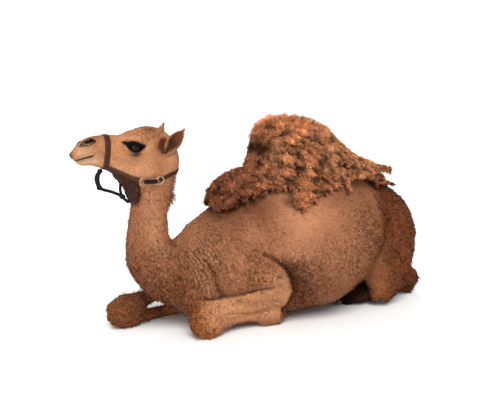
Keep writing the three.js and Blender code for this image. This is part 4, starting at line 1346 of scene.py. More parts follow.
def wool_tone(points):
    """Orange brown, paler on the crest and at the back, darker low in front, and darkened in the
    hollow with painted shade.
    """
    x, _, z = points.T
    return painted(
        np.repeat(WOOL[None], len(points), 0),
        (WOOL_PALE, 0.35 * step(z, 940, 1070)),
        (WOOL_PALE, 0.42 * step(x, 250, 420) * step(z, 700, 800)),
        (WOOL_PALE, 0.4 * bell(points, (110, -170, 900), (130, 150, 110))),
        (WOOL_DARK, 0.65 * fade(x, -110, 90) * fade(z, 820, 900)),
        (WOOL_DARK, 0.25 * (0.5 + 0.5 * noise(points, 110, 61))),
        (WOOL_DARK, 0.2 * step(x, 600, 760)),
        # painted shade in the hollow under the crest's front tuft
        (0.22 * WOOL_DARK, 1.1 * bell(points, *HOLLOW)))


wool = Finish("wool", Roughness=0.95, Specular_IOR_Level=0.15)
curls = wool.noise(0.006, 4, 0.7, None, 2.0)
tufting = wool.noise(0.03, 3, 0.6, None, 0.8)
shade = 0.55 + 0.5 * curls + 0.5 * (tufting - 0.4)
wool.set("Base Color", wool.brightness(wool.tone(), shade))
wool.set("Normal", wool.bump(curls, 0.006, wool.bump(tufting, 0.012)))
felt = make("wool_base", wool_points, wool_faces, wool.material, "wool")
# The felt is painted darker than the wool, as shade between the locks, darker still in its hollows
# and lighter on its lumps: painted shade and highlight.
carry_tone(felt, 0.7 * wool_tone(wool_points) * np.exp(lumps / 10)[:, None])
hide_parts("hump_wool", "left_mantle", "right_mantle")
print("wool nodes:", len(wool.tree.nodes))

# %% [markdown]
# ## Locks and short hair as mesh
# A lock is a thin, tapered tube with three sides that bends from the way it grows to the way it
# hangs and may curl on the way. Thousands are worked out at once: every array below has one row
# for each lock. A lock keeps the colour of its root, and a small patch of the piece's UV map at
# its root's place on an unwrapped cylinder round that part of the body.

# %% Where hairs grow
rng = np.random.default_rng(7)


def scattered(points, faces, count, density=None):
    """Random places spread evenly over triangles, or by a density, with their normals."""
    a, b, c = (points[faces[:, k]] for k in range(3))
    cross = np.cross(b - a, c - a)
    area = np.linalg.norm(cross, axis=1)
    weight = area if density is None else area * density((a + b + c) / 3)
    chosen = rng.choice(len(faces), count, p=weight / weight.sum())
    u, v = rng.random((2, count))
    flip = u + v > 1
    u, v = np.where(flip, 1 - u, u)[:, None], np.where(flip, 1 - v, v)[:, None]
    places = a[chosen] + u * (b - a)[chosen] + v * (c - a)[chosen]
    return places, unit(cross[chosen]), chosen


def across(ways, normals):
    """The part of each way that lies along the surface, with length 1."""
    return unit(ways - (ways * normals).sum(1, keepdims=True) * normals)


def unwrapped(places, axis_from, axis_to):
    """u is the angle round an axis and v the share of the way along it."""
    axis_from, axis_to = np.asarray(axis_from, float), np.asarray(axis_to, float)
    axis = axis_to - axis_from
    v = (places - axis_from) @ axis / (axis @ axis)
    side = unit(np.cross(axis, [0.0, 0.31, 1.0]))
    up = unit(np.cross(side, axis))
    away = places - axis_from - v[:, None] * axis
    u = np.arctan2(away @ side, away @ up) / (2 * math.pi) + 0.5
    return np.stack([0.01 + 0.98 * u, 0.01 + 0.98 * np.clip(v, 0, 1)], 1)


print("hairs grow across the normals, as", across(np.ones((1, 3)), np.eye(3)[2:])[0].round(2))

# %% Locks
UV_PATCH = 0.003
FLOOR_GAP = 0.4


def one_lock(rings):
    """The triangles of one lock: a wall between each two rings, a cone to the tip, and a base."""
    sides = [(r * 3 + a, r * 3 + (a + 1) % 3) for r in range(rings) for a in range(3)]
    wall = [[here, after, after + 3] for here, after in sides[:-3]]
    wall += [[here, after + 3, here + 3] for here, after in sides[:-3]]
    return np.array(wall + [[here, after, rings * 3] for here, after in sides[-3:]] + [[2, 1, 0]])


def locks(roots, start, end, length, width, curl=0.0, turns=1.0, rings=4, flat=0.6):
    """point(s) = root + length * (s * start + s^2 * (end - start) / 2) + curl * s * (a turning
    vector across it). The tube's half width is width * (1 - s^2) * (0.6 + s), and it is flat
    times as thick as wide. All arguments may hold one value for each lock."""
    count = len(roots)
    column = lambda value: np.broadcast_to(np.asarray(value, float), count)[:, None, None]
    s = np.linspace(0, 1, rings + 1)[None, :, None]
    start, end = unit(start)[:, None], unit(end)[:, None]
    path = roots[:, None] + column(length) * (s * start + s**2 * (end - start) / 2)
    side = unit(np.cross(start + 0.3 * end, rng.normal(size=(count, 1, 3))))
    over = np.cross(side, start)
    phase = 2 * math.pi * (column(turns) * s + rng.random((count, 1, 1)))
    path = path + column(curl) * s * (np.cos(phase) * side + np.sin(phase) * over)
    along = unit(np.gradient(path, axis=1))
    side = unit(np.cross(along, over))
    over = np.cross(side, along)
    half = column(width) * (1 - s**2) * (0.6 + s)
    angle = 2 * math.pi * np.arange(3) / 3
    ring = (side[:, :, None] * np.cos(angle)[:, None]
            + flat * over[:, :, None] * np.sin(angle)[:, None])
    tubes = path[:, :-1, None] + half[:, :-1, None] * ring[:, :-1]
    points = np.concatenate([tubes.reshape(count, -1, 3), path[:, -1:]], 1)
    points = points.reshape(-1, 3)
    per, one = rings * 3 + 1, one_lock(rings)
    faces = (one[None] + (np.arange(count) * per)[:, None, None]).reshape(-1, 3)
    if outward(points[:per], one)[1] is not one:
        faces = faces[:, ::-1]
    return points, faces, rings


def hair_piece(name, made, roots, colours, look, slot, axis, tip=1.0):
    """Makes locks an object whose points carry their root's colour, tip times as bright at the
    tip, and whose UV map has a small patch for each lock."""
    points, faces, rings = made
    points = np.maximum(points, [-np.inf, -np.inf, FLOOR_GAP])
    obj = make(name, points, faces, look, slot)
    share = np.append(np.repeat(np.arange(rings) / rings, 3), 1.0)
    shades = colours[:, None] * (1 + (tip - 1) * share)[None, :, None]
    carry_tone(obj, shades.reshape(-1, 3))
    corner = np.append(np.tile([0.0, 0.5, 1.0], rings), 0.5)
    patch = np.stack([corner, share], 1) * UV_PATCH
    uv = (unwrapped(roots, *axis)[:, None] + patch[None]).reshape(-1, 2)
    layer = obj.data.uv_layers.new(name="OFBake")
    layer.data.foreach_set("uv", uv[faces.ravel()].astype(np.float32).ravel())
    return obj


print("a lock with 3 rings has", len(one_lock(3)), "triangles")

# %% [markdown]
# The wool's locks. Neighbours lie the same way, as hair in a current does: down and backwards, but
# turned here and there by a slow random field. Each lock is thin, waves as it goes, and takes a
# little colour from the clump that it belongs to, and the locks deep between two lumps of the felt
# are painted darker, as shade. On the crest they are longer and straighter, and fan out upright
# like a brush.

# %% Locks of the wool
def nearest(places, centres):
    """The number of the centre nearest to each place."""
    squared = (centres**2).sum(1)[None] - 2 * places @ centres.T
    return squared.argmin(1)


def crestness(points):
    """1 where the wool stands upright on the ridge of the hump."""
    x, y, z = points.T
    return step(z, 930, 1020) * fade(np.abs(y), 70, 150) * step(x, -95, -25) * fade(x, 420, 560)


def wool_flow(points, normals):
    """The way the wool lies: across(hanging backwards + a slow random turn)."""
    way = np.array([0.7, 0.0, -0.8]) + 0.5 * drift(points, 80, (81, 82, 83))
    return across(way + 0.35 * drift(points, 30, (84, 85, 86)), normals)


def wool_locks(name, where, count, clumps=700):
    """Locks on the part of the felt that where picks, in so many clumps."""
    outer = wool_faces[(wool_faces < len(wool_points) // 2).all(1)]
    outer = outer[where(wool_points[outer].mean(1))]
    roots, normals, chosen = scattered(wool_points, outer, count)
    height = lumps[outer[chosen, 0]]
    upright = crestness(roots)[:, None]
    edge = fade(wool_depth(roots), 0, 40)[:, None]
    flow = wool_flow(roots, normals)
    fan = np.stack([(roots[:, 0] - 150) / 190, roots[:, 1] / 120, 1.1 + 0 * roots[:, 0]], 1)
    mine = nearest(roots, roots[:clumps])
    lean = rng.normal(0, 0.38, (clumps, 3))[mine]
    reach = rng.uniform(0.4, 1.8, clumps)[mine]
    start = ((normals * 0.25 + flow + 0.5 * lean) * (1 - upright) + upright * (fan + lean)
             + 0.22 * rng.normal(size=roots.shape))
    hanging = flow - 0.5 * normals + 0.2 * edge * [0.1, 0, -1]
    end = (hanging * (1 - upright) + upright * (fan + 0.35 * flow + lean)
           + 0.35 * rng.normal(size=roots.shape))
    forelock = bell(roots, (-15, 0, 1000), (60, 120, 55))
    length = (21 + (11 + 48 * forelock) * reach * upright[:, 0]) * rng.uniform(0.7, 1.3, count)
    curl = rng.uniform(1.8, 4.2, count) * (1 - 0.4 * upright[:, 0])
    made = locks(roots - normals * (2 + 6 * upright), start, end, length,
                 rng.uniform(1.5, 2.5, count), curl, rng.uniform(0.7, 1.5, count), rings=3)
    shade = 1.22 * rng.uniform(0.7, 1.3, count) * rng.uniform(0.84, 1.16, clumps)[mine]
    # locks deep between lumps darker and those on lumps lighter: painted shade and highlight
    colours = wool_tone(roots) * (shade * np.exp(height / 13))[:, None]
    piece = hair_piece(name, made, roots, colours, wool_hair.material, "wool", WOOL_AXIS, 1.25)
    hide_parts("hump_wool", "left_mantle", "right_mantle")
    return len(made[1])


WOOL_AXIS = ((-300, 0, 500), (1000, 0, 500))
wool_hair = Finish("wool_locks", Roughness=0.85, Specular_IOR_Level=0.06)
fibre = wool_hair.noise(0.0035, 3, 0.6)
wool_hair.set("Base Color", wool_hair.brightness(wool_hair.tone(), 0.7 + 0.6 * fibre))
wool_hair.set("Normal", wool_hair.bump(fibre, 0.002))
WOOL_LOCKS = {"left": 10000, "right": 9000}
CREST_LOCKS, CREST_CLUMPS, WOOL_REAR_FROM = 8000, 420, 260
triangles = 0
for side, sign in EACH_SIDE:
    for part, is_rear in (("front", False), ("rear", True)):
        triangles += wool_locks(
            f"wool_{side}_{part}",
            lambda c: (((c[:, 1] < 0) == (sign > 0)) & ((c[:, 0] >= WOOL_REAR_FROM) == is_rear)
                       & (crestness(c) < 0.5)),
            WOOL_LOCKS[side])
triangles += wool_locks("wool_crest", lambda c: crestness(c) >= 0.5, CREST_LOCKS, CREST_CLUMPS)
print("wool locks:", triangles, "triangles")

# %% [markdown]
# ## Short coat
# Over the hide lies a coat of tiny curls, about a centimetre long. Each is a lock of only two
# rings. They lie along the body in the way the real coat runs: back from the nose, down the neck,
# and back and down over trunk and legs. Most of them grow where the fleece is curly.

# %% Tufts of the short coat
def coat_flow(points, normals):
    """Back over the head, down the neck, back and down elsewhere, with a slow random turn."""
    face = headness(points)[:, None]
    neck = (fade(points[:, 0], -480, -380) * step(points[:, 2], 300, 420))[:, None] * (1 - face)
    way = face * [1.0, 0, -0.1] + neck * [0.1, 0, -1.0] + (1 - face - neck) * [0.75, 0, -0.6]
    turn = drift(points, 60, (91, 92, 93))
    return across(way + (0.25 + 0.5 * curliness(points)[:, None]) * turn, normals)


def bare(points):
    """1 on the lids, in the nostrils and on the lips, where no tufts grow."""
    side = folded(points)
    places = side[:, [0, 2]]
    at_eye = step(outline_depth(places, EYE_DARK), -6, -2) * step(-side[:, 1], 40, 55)
    at_nose = step(outline_depth(places, NOSTRIL), -5, -1)
    mouth, _ = line_distance(places, MOUTH)
    return headness(points) * np.clip(at_eye + at_nose + 1 - step(mouth, 3.5, 6), 0, 1)


def coat_density(places):
    """More curls where the fleece is curly and on the face, fewer on the pleats."""
    return ((0.5 + 0.8 * curliness(places) + 0.5 * headness(places))
            * (1 - 0.7 * on_shoulder(places)))


def short_coat(name, where, count):
    """Small curls on the part of the skin that where picks and that no wool covers. Some are
    dark and a little larger: painted shade that stands for the gaps between curls."""
    centres = skin_points[skin_faces].mean(1)
    free = (wool_depth(centres) < 6) & (bare(centres) < 0.5) & (centres[:, 2] > 12)
    grows = where(centres) & free
    roots, normals, _ = scattered(skin_points, skin_faces[grows], count, coat_density)
    face, curl = headness(roots), curliness(roots)
    flow = coat_flow(roots, normals)
    spread = rng.normal(size=roots.shape) * (0.15 + 0.45 * curl)[:, None]
    start = flow + normals * (0.28 + 0.3 * curl)[:, None] + spread
    end = flow - 0.3 * normals + 1.4 * spread
    crown = (bell(roots, (-590, 0, 1075), (75, 70, 40))
             + 0.6 * bell(roots, (-500, 0, 1000), (50, 80, 90)))
    # dark curls: painted shade for the gaps between curls
    dark = (rng.random(count) < 0.42 * curl**1.5 * (1 - face)) | (rng.random(count) < 0.22 * crown)
    whiskers = bell(roots, (-990, 0, 960), (22, 40, 22)) * (rng.random(count) < 0.1)
    length = ((13 - 6 * face + 3 * curl + 7 * crown + 14 * whiskers) * (1 + 0.45 * dark)
              * rng.uniform(0.7, 1.3, count))
    width = (1.5 - 0.7 * face + 0.6 * curl) * (1 + 0.45 * dark) * rng.uniform(0.8, 1.2, count)
    made = locks(roots - 0.4 * normals, start, end, length, width, 0.5 + 2.5 * curl,
                 rng.uniform(0.5, 1.2, count), rings=2, flat=0.5)
    lump = np.where(face > 0.5, noise(roots, 9, 96), noise(roots, 17, 95))
    lumpy = 1 + (0.12 + 0.05 * face + 0.30 * curl) * np.tanh(1.4 * lump)
    uneven = 1 + (0.18 + 0.1 * face + 0.26 * curl) * rng.uniform(-1, 1, count)
    colours = tone(roots) * (lumpy * uneven * np.where(dark, 0.36, 1.14))[:, None]
    hair_piece(name, made, roots, colours, coat_hair.material, "coat", COAT_AXIS, 1.15)


COAT_AXIS = ((-1000, 0, 300), (1150, 0, 300))
coat_hair = Finish("short_coat", Roughness=0.85, Specular_IOR_Level=0.07)
strand = coat_hair.noise(0.003, 3, 0.6)
coat_hair.set("Base Color", coat_hair.brightness(coat_hair.tone(), 0.75 + 0.5 * strand))
coat_hair.set("Normal", coat_hair.bump(strand, 0.001))
HEAD_CURLS, BODY_CURLS, REAR_FROM = 8000, 12500, 60
for side, sign in EACH_SIDE:
    mine = lambda c: c[:, 1] * sign < 0
    short_coat(f"{side}_head_coat", lambda c: mine(c) & (headness(c) > 0.5), HEAD_CURLS)
    short_coat(f"{side}_front_coat",
               lambda c: mine(c) & (headness(c) <= 0.5) & (c[:, 0] < REAR_FROM), BODY_CURLS)
    short_coat(f"{side}_rear_coat", lambda c: mine(c) & (c[:, 0] >= REAR_FROM), BODY_CURLS)
print("short coat: two rings and", len(one_lock(2)), "triangles to each curl")

# %% [markdown]
# Longer hair grows in four places: a tuft at the tail's end, a mane down the nape with a longer
# lock low on it, a fringe along each ear's rim and a dark tuft at its foot.

# %% The tail's tuft
TAIL_HAIRS = 1500
tail_low, tail_high = (drawing(corner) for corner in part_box("tail_tuft"))
share = rng.random(TAIL_HAIRS)
tail_path = spline([(1099, 82, 170), (1098, 92, 120), (1094, 99, 70), (1086, 104, 30)], 60)
roots = tail_path[(share * 59).astype(int)] + rng.normal(0, 4, (TAIL_HAIRS, 3))
ways = rng.normal(size=(TAIL_HAIRS, 3)) * [0.5, 0.5, 0.2]
points, *rest = locks(roots, ways + [-0.15, 0.1, -1], ways * 0.6 + [-0.4, 0.35, -0.9],
                      rng.uniform(45, 80, TAIL_HAIRS), rng.uniform(1.2, 2.2, TAIL_HAIRS),
                      5, 1.2, rings=5)
points = np.clip(points, tail_low - [20, 20, 0], tail_high + [8, 20, 10])
colours = DARK_BROWN * rng.uniform(0.6, 1.3, (TAIL_HAIRS, 1))
tuft = hair_piece("tail_hair", (points, *rest), roots, colours, wool_hair.material, "wool",
                  ((1090, 90, 0), (1090, 90, 180)), 1.3)
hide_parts("tail_tuft")
print("tail:", TAIL_HAIRS, "hairs")

# %% The mane
NAPE = [(-446, 0, 905), (-444, 0, 860), (-452, 0, 800), (-470, 0, 745), (-484, 0, 700),
        (-492, 0, 640)]
MANE_HAIRS = 900
share = rng.random(MANE_HAIRS)
roots = (spline(NAPE, 80)[(share * 79).astype(int)]
         + rng.normal(0, 1, (MANE_HAIRS, 3)) * [3, 16, 3] + [-4, 0, 0])
ways = rng.normal(size=(MANE_HAIRS, 3)) * [0.3, 0.5, 0.4]
long_part = peak(share, 0.72, 0.12)
made = locks(roots, ways + [1, 0, -0.4], ways + [0.35, 0, -1.1],
             (16 + 42 * long_part) * rng.uniform(0.6, 1.2, MANE_HAIRS), 1.3,
             2 + 5 * long_part, 1.0, rings=4)
colours = (BROWN + (SAND - BROWN) * 0.4) * rng.uniform(0.6, 1.3, (MANE_HAIRS, 1))
hair_piece("mane", made, roots, colours, coat_hair.material, "coat",
           ((-450, 0, 950), (-490, 0, 600)), 1.2)
print("mane:", MANE_HAIRS, "hairs")

# %% The ears' fringes and tufts
FRINGE_HAIRS, TUFT_HAIRS = 700, 420
FRINGE_AXIS = ((-520, 0, 950), (-440, 0, 1100))
TUFT_AXIS = ((-620, 0, 990), (-460, 0, 990))


def fringe():
    """Hairs along the rim of the left ear, each across the opening and upwards, and their roots."""
    height = rng.uniform(0.05, 0.93, FRINGE_HAIRS)
    row = (height * (len(ear_profile) - 1)).astype(int)
    edge = rng.choice([-1, 1], FRINGE_HAIRS)
    height, wide, deep, reach = ear_profile[row].T
    a = np.radians(reach) * edge * rng.uniform(0.88, 1.0, FRINGE_HAIRS)
    roots = ear_place((wide - 1.5) * np.sin(a), (deep - 1.5) * np.cos(a) + ear_lean(height), height)
    ways = (-0.5 * edge[:, None] * ear_side + 0.7 * ear_up - 0.35 * ear_back
            + 0.35 * rng.normal(size=(FRINGE_HAIRS, 3)))
    made = locks(roots, ways, ways + 0.6 * ear_up, rng.uniform(9, 19, FRINGE_HAIRS), 0.75, 1.0, 0.7,
                 rings=3)
    return made, roots


def on_side(made, roots, sign):
    """Locks made for the left side, mirrored where the sign says right."""
    if sign > 0:
        return made, roots
    return (*mirrored(made[:2]), made[2]), roots * [1, -1, 1]


centres = skin_points[skin_faces].mean(1)
for side, sign in EACH_SIDE:
    made, roots = fringe()
    colours = np.repeat(SAND[None], FRINGE_HAIRS, 0) * rng.uniform(0.5, 1.15, (FRINGE_HAIRS, 1))
    made, roots = on_side(made, roots, sign)
    hair_piece(f"{side}_ear_fringe", made, roots, colours, coat_hair.material, "coat", FRINGE_AXIS)
    at_ear = (bell(centres, (-540, -92, 992), (36, 50, 38)) > 0.4) & (centres[:, 1] * sign < 0)
    roots, normals, _ = scattered(skin_points, skin_faces[at_ear], TUFT_HAIRS)
    ways = across(np.array([0.9, 0, 0.5]) + 0.5 * rng.normal(size=roots.shape), normals)
    ways = ways + 0.5 * normals
    made = locks(roots - 0.5 * normals, ways, ways - 0.6 * normals, rng.uniform(14, 26, TUFT_HAIRS),
                 1.2, 2.5, 0.9, rings=3)
    colours = RED_BROWN * rng.uniform(0.35, 1.15, (TUFT_HAIRS, 1))
    hair_piece(f"{side}_ear_tuft", made, roots, colours, coat_hair.material, "coat", TUFT_AXIS, 1.3)
print("ears:", FRINGE_HAIRS + TUFT_HAIRS, "hairs on each")

# %% [markdown]
# ## Eyes
# A camel's eye is large, dark and always wet. The ball is a plain sphere, and its finish does the
# rest: a brown iris round a wide, lying pupil under a clear, glossy coat. Heavy lashes grow from
# the rim of the upper lid in two rows, shorter ones from the lower lid.

# %% Eyeballs
eye_finish = Finish("eye", Roughness=0.12, Specular_IOR_Level=0.06,
                    Coat_Weight=0.25, Coat_Roughness=0.02)
eye_middle = metres(EYE)
ahead, rise = (eye_finish.node("SeparateXYZ", None, {0: eye_finish.place()}, axis)
               - float(eye_middle[axis]) for axis in (0, 2))
from_middle = eye_finish.math("SQRT", ahead * ahead + rise * rise)
from_pupil = eye_finish.math("SQRT", ahead * ahead * 0.45 + rise * rise)
rays = eye_finish.noise(0.004, 4, 0.7, None, 1.0)
iris = eye_finish.mix(rays, (0.010, 0.005, 0.003), (0.030, 0.014, 0.007))
outside = eye_finish.between(from_middle, 0.0145, 0.0175)
ringed = eye_finish.mix(outside, iris, (0.008, 0.005, 0.004))
out_of_pupil = eye_finish.between(from_pupil, 0.0065, 0.0085)
eye_finish.set("Base Color", eye_finish.mix(out_of_pupil, (0.003, 0.003, 0.004), ringed))
for side, sign in EACH_SIDE:
    eyeball = make(f"{side}_eyeball",
                   *ball(EYE * [1, sign, 1], (EYE_RADIUS,) * 3, rings=40, sides=64),
                   eye_finish.material, "eye")
    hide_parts(f"{side}_eye")
print("eyeballs stand", round(-EYE[1] + EYE_RADIUS), "mm from the middle plane")

# %% Lashes
LASH = linear(20, 12, 9)
lash_finish = Finish("lashes", Roughness=0.7, Specular_IOR_Level=0.06)
streaks = lash_finish.noise(0.002)
lash_finish.set("Base Color", lash_finish.brightness(lash_finish.tone(), 0.7 + 0.6 * streaks))


def lid_place(rim, out=0.0):
    """The place on the lid's ball over a point of the side view, out further from the eye."""
    from_eye = rim - EYE[[0, 2]]
    reach = np.sqrt(np.maximum((EYE_RADIUS + LID_THICKNESS) ** 2 - (from_eye**2).sum(1), 30.0))
    return np.stack([rim[:, 0], EYE[1] - reach - out, rim[:, 1]], 1)


def lashes(share_from, share_to, count, length, start, end):
    """Lashes along a stretch of the eye's opening."""
    share = np.linspace(share_from, share_to, count) + rng.normal(0, 0.004, count)
    rim = EYE_OPENING[np.clip((share * len(EYE_OPENING)).astype(int), 0, len(EYE_OPENING) - 1)]
    rim = rim + rng.normal(0, 0.7, rim.shape)
    fan = (rim - EYE[[0, 2]]) / 34
    roots = lid_place(rim, -1.5)
    spread = np.stack([fan[:, 0] * 0.9, 0 * share, 0 * share], 1)
    made = locks(roots, np.asarray(start) + spread, np.asarray(end) + 1.3 * spread,
                 length * rng.uniform(0.7, 1.15, count), 0.55, rings=4)
    return made, roots


def lash_piece(name, sign):
    """All lashes of one eye as one piece."""
    rows = [lashes(0.02, 0.48, 70, 27, (0, -1.0, -0.15), (0, -0.75, -0.95)),
            lashes(0.04, 0.46, 60, 22, (0, -1.0, 0.15), (0, -0.9, -0.55)),
            lashes(0.52, 0.95, 46, 11, (0, -1.0, -0.4), (0, -0.7, -1.0))]
    made = (*joined([made[:2] for made, _ in rows]), rows[0][0][2])
    made, roots = on_side(made, np.concatenate([roots for _, roots in rows]), sign)
    colours = np.repeat(LASH[None], len(roots), 0)
    return hair_piece(name, made, roots, colours, lash_finish.material, "coat",
                      ((-800, 0, 1000), (-600, 0, 1000)))


for side, sign in EACH_SIDE:
    piece = lash_piece(f"{side}_lashes", sign)
print("lashes:", len(piece.data.polygons), "triangles on each eye")

# %% [markdown]
# ## Nails
# Each foot has two toes with a small, blunt nail of dark, striped horn.

# %% Nails
# Each foot: x and z of its toes, its distance from the middle, where it points, and its side.
FEET = {"left_fore": (92, 46, 200, 1, 1), "right_fore": (-212, 46, 190, 1, -1),
        "left_hind": (488, 30, 124, -1, 1), "right_hind": (488, 30, 124, -1, -1)}
horn = Finish("horn", Roughness=0.42)
stripes = horn.noise(0.004, 3, 0.6, horn.place((0.3, 1, 1)))
horn.set("Base Color", horn.mix(stripes, (0.025, 0.018, 0.013), (0.13, 0.09, 0.06)))
horn.set("Roughness", 0.35 + 0.3 * stripes)
horn.set("Normal", horn.bump(stripes, 0.0008))
for leg, (x, z, out, turn, sign) in FEET.items():
    for toe, offset in (("inner", -24), ("outer", 24)):
        place = (x - turn * 6, -sign * (out + offset), z - 4)
        points, faces = ball(place, (15, 14.5, 13), turn * 25)
        points[:, 2] = np.maximum(points[:, 2], FLOOR_GAP)
        nail = make(f"{leg}_{toe}_horn", points, faces, horn.material, "nails")
        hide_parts(f"{leg}_{toe}_nail")
print("nails:", 2 * len(FEET))

# %% [markdown]
# ## Halter
# The halter is a leather noseband, a creased leather sling under the jaw, two rings on each side
# with a plaited black link between them, a crown strap round the nape and a loop of black webbing
# under the chin. Straps hug the head: a guide surface is laid round it, and Blender's Shrinkwrap
# draws the guide onto the skin. The strap then gets its thickness and its rounded edges.

# %% Straps that hug the skin
STRAP_GAP = 1.2
STRAP_THICK = 4.2
SLING_THICK = 4.0


def hugging(grid, around=False):
    """A grid of points drawn to the nearest places of the skin, a gap above it, then relaxed."""
    faces = cells(*grid.shape[:2], False)
    guide = make("guide", grid.reshape(-1, 3), faces)
    draw = guide.modifiers.new("hug", "SHRINKWRAP")
    draw.target = skin
    draw.wrap_method = "NEAREST_SURFACEPOINT"
    draw.wrap_mode = "ABOVE_SURFACE"
    draw.offset = STRAP_GAP / 1000
    mesh = finished(guide)
    hugged = read(mesh, "triangles")[0].reshape(grid.shape)
    bpy.data.objects.remove(guide)
    smooth = hugged.copy()
    for _ in range(3):
        before = np.roll(smooth, 1, 0) if around else np.concatenate([smooth[:1], smooth[:-1]])
        after = np.roll(smooth, -1, 0) if around else np.concatenate([smooth[1:], smooth[-1:]])
        smooth = 0.5 * smooth + 0.25 * (before + after)
    return smooth


def strap(grid, thickness, inside, around=False):
    """A closed strap on a grid [along, across]: its under side, and its upper side thickness
    higher, which comes down at both edges as 1 - |v|^8 does."""
    ahead = (np.roll(grid, -1, 0) - np.roll(grid, 1, 0)) if around else np.gradient(grid, axis=0)
    normal = unit(np.cross(ahead, np.gradient(grid, axis=1)))
    normal *= np.sign((normal * (grid - np.asarray(inside, float))).sum())
    v = np.linspace(-1, 1, grid.shape[1])
    crown = (thickness * (1 - 0.75 * np.abs(v) ** 8))[None, :, None]
    ring = np.concatenate([grid, (grid + normal * crown)[:, ::-1]], axis=1)
    if not around:
        return capped(ring)
    rows, columns = ring.shape[:2]
    faces = cells(rows + 1, columns) % (rows * columns)
    return outward(ring.reshape(-1, 3), faces)


def lay(grid_shape, length, around=False):
    """For each point of a strap: metres along it, its place across it, from -1 to 1, and the
    depth of furrows, which is 0."""
    rows, columns = grid_shape[:2]
    u = np.linspace(0, length / 1000, rows)[:, None] + np.zeros(2 * columns)
    v = np.concatenate([np.linspace(-1, 1, columns), np.linspace(1, -1, columns)])[None]
    v = v + np.zeros((rows, 1))
    made = np.stack([u, v, 0 * u], -1).reshape(-1, 3)
    return made if around else np.concatenate([made, made[[0, -1]]])


def carry_lay(obj, values):
    """Stores the places along and across in the attribute named lay."""
    layer = obj.data.attributes.new("lay", "FLOAT_VECTOR", "POINT")
    layer.data.foreach_set("vector", values.astype(np.float32).ravel())


print("straps lie", STRAP_GAP, "mm over the skin")

# %% [markdown]
# The leather is worn: cracked, rubbed pale along the rims and stitched in a dashed row near each
# edge, and it is painted darker in the furrows as shade. All of this follows the strap's own
# directions, which `lay` measured.

# %% Leather
leather = Finish("leather", Roughness=0.55, Specular_IOR_Level=0.12)
lie = leather.node("Attribute", {"attribute_name": "lay"}, output="Vector")
along, over_strap, furrow = (leather.node("SeparateXYZ", None, {0: lie}, axis) for axis in range(3))
grain = leather.cells(0.0016)
wear = leather.noise(0.02, 4, 0.65)
cracks = leather.between(leather.noise(0.006, 5, 0.7, None, 1.2), 0.40, 0.52)
rim_wear = leather.between(leather.math("ABSOLUTE", over_strap) + 0.25 * wear, 0.92, 1.12)
wear_and_furrow_shade = leather.mix(wear, (0.026, 0.008, 0.004), (0.100, 0.033, 0.016))
wear_and_furrow_shade = leather.mix(rim_wear * 0.5, wear_and_furrow_shade, (0.20, 0.10, 0.055))
wear_and_furrow_shade = leather.mix(0.5 - 0.5 * cracks, wear_and_furrow_shade, (0.025, 0.010, 0.006))
# painted shade in the furrows
wear_and_furrow_shade = leather.mix(0.85 * furrow, wear_and_furrow_shade, (0.012, 0.004, 0.003))
edge_way = leather.math("ABSOLUTE", over_strap)
stitch_row = 1 - leather.between(leather.math("ABSOLUTE", edge_way - 0.72), 0.05, 0.10)
dashes = leather.between(leather.math("SINE", along * (2 * math.pi / 0.0075)), -0.2, 0.1)
stitches = stitch_row * dashes
leather.set("Base Color", leather.mix(0.55 * stitches, wear_and_furrow_shade, (0.20, 0.11, 0.06)))
leather.set("Roughness", 0.50 + 0.25 * wear)
leather.set("Normal", leather.bump(0.5 * grain + cracks + 1.6 * stitches + 0.5 * rim_wear, 0.0009))


def strap_piece(name, guide, thickness, inside, length, solid, around=False):
    """A leather strap that hugs the skin along a guide, and carries its lay."""
    grid = hugging(guide, around)
    piece = make(name, *strap(grid, thickness, inside, around), leather.material, "halter_leather")
    carry_lay(piece, lay(grid.shape, length, around))
    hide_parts(solid)
    return grid


print("leather nodes:", len(leather.tree.nodes))

# %% Noseband
BAND_HALF, CROWN_HALF = 14.5, 12
LONG_STRAP, SHORT_STRAP = 420, 210
theta = np.linspace(0, 2 * math.pi, 120, endpoint=False)[:, None]
v = np.linspace(-1, 1, 9)[None]
band_down = unit(np.array([-18.0, 0, -180.0]))
band_along = np.array([-band_down[2], 0, band_down[0]])
guide = (np.array([-822.0, 0, 978.0]) + np.sin(theta)[..., None] * [0, 62, 0]
         + (np.cos(theta) * 96)[..., None] * band_down + (v * BAND_HALF)[..., None] * band_along)
band = strap_piece("nose_band", guide, STRAP_THICK, (-822, 0, 978), LONG_STRAP, "noseband", True)
print("noseband:", round(float(np.ptp(band[..., 1]))), "mm wide across the nose")

# %% Crown strap and jaw straps
turn = np.linspace(-math.pi / 2, math.pi / 2, 80)[:, None]
crown_back = unit(np.array([140.0, 0, 36.0]))
crown_up = np.array([-crown_back[2], 0, crown_back[0]])
guide = (np.array([-572.0, 0, 825.0]) + np.sin(turn)[..., None] * [0, 100, 0]
         + (np.cos(turn) * 150)[..., None] * crown_back + (v * CROWN_HALF)[..., None] * crown_up)
strap_piece("crown_leather", guide, STRAP_THICK, (-560, 0, 825), LONG_STRAP, "crown_strap")

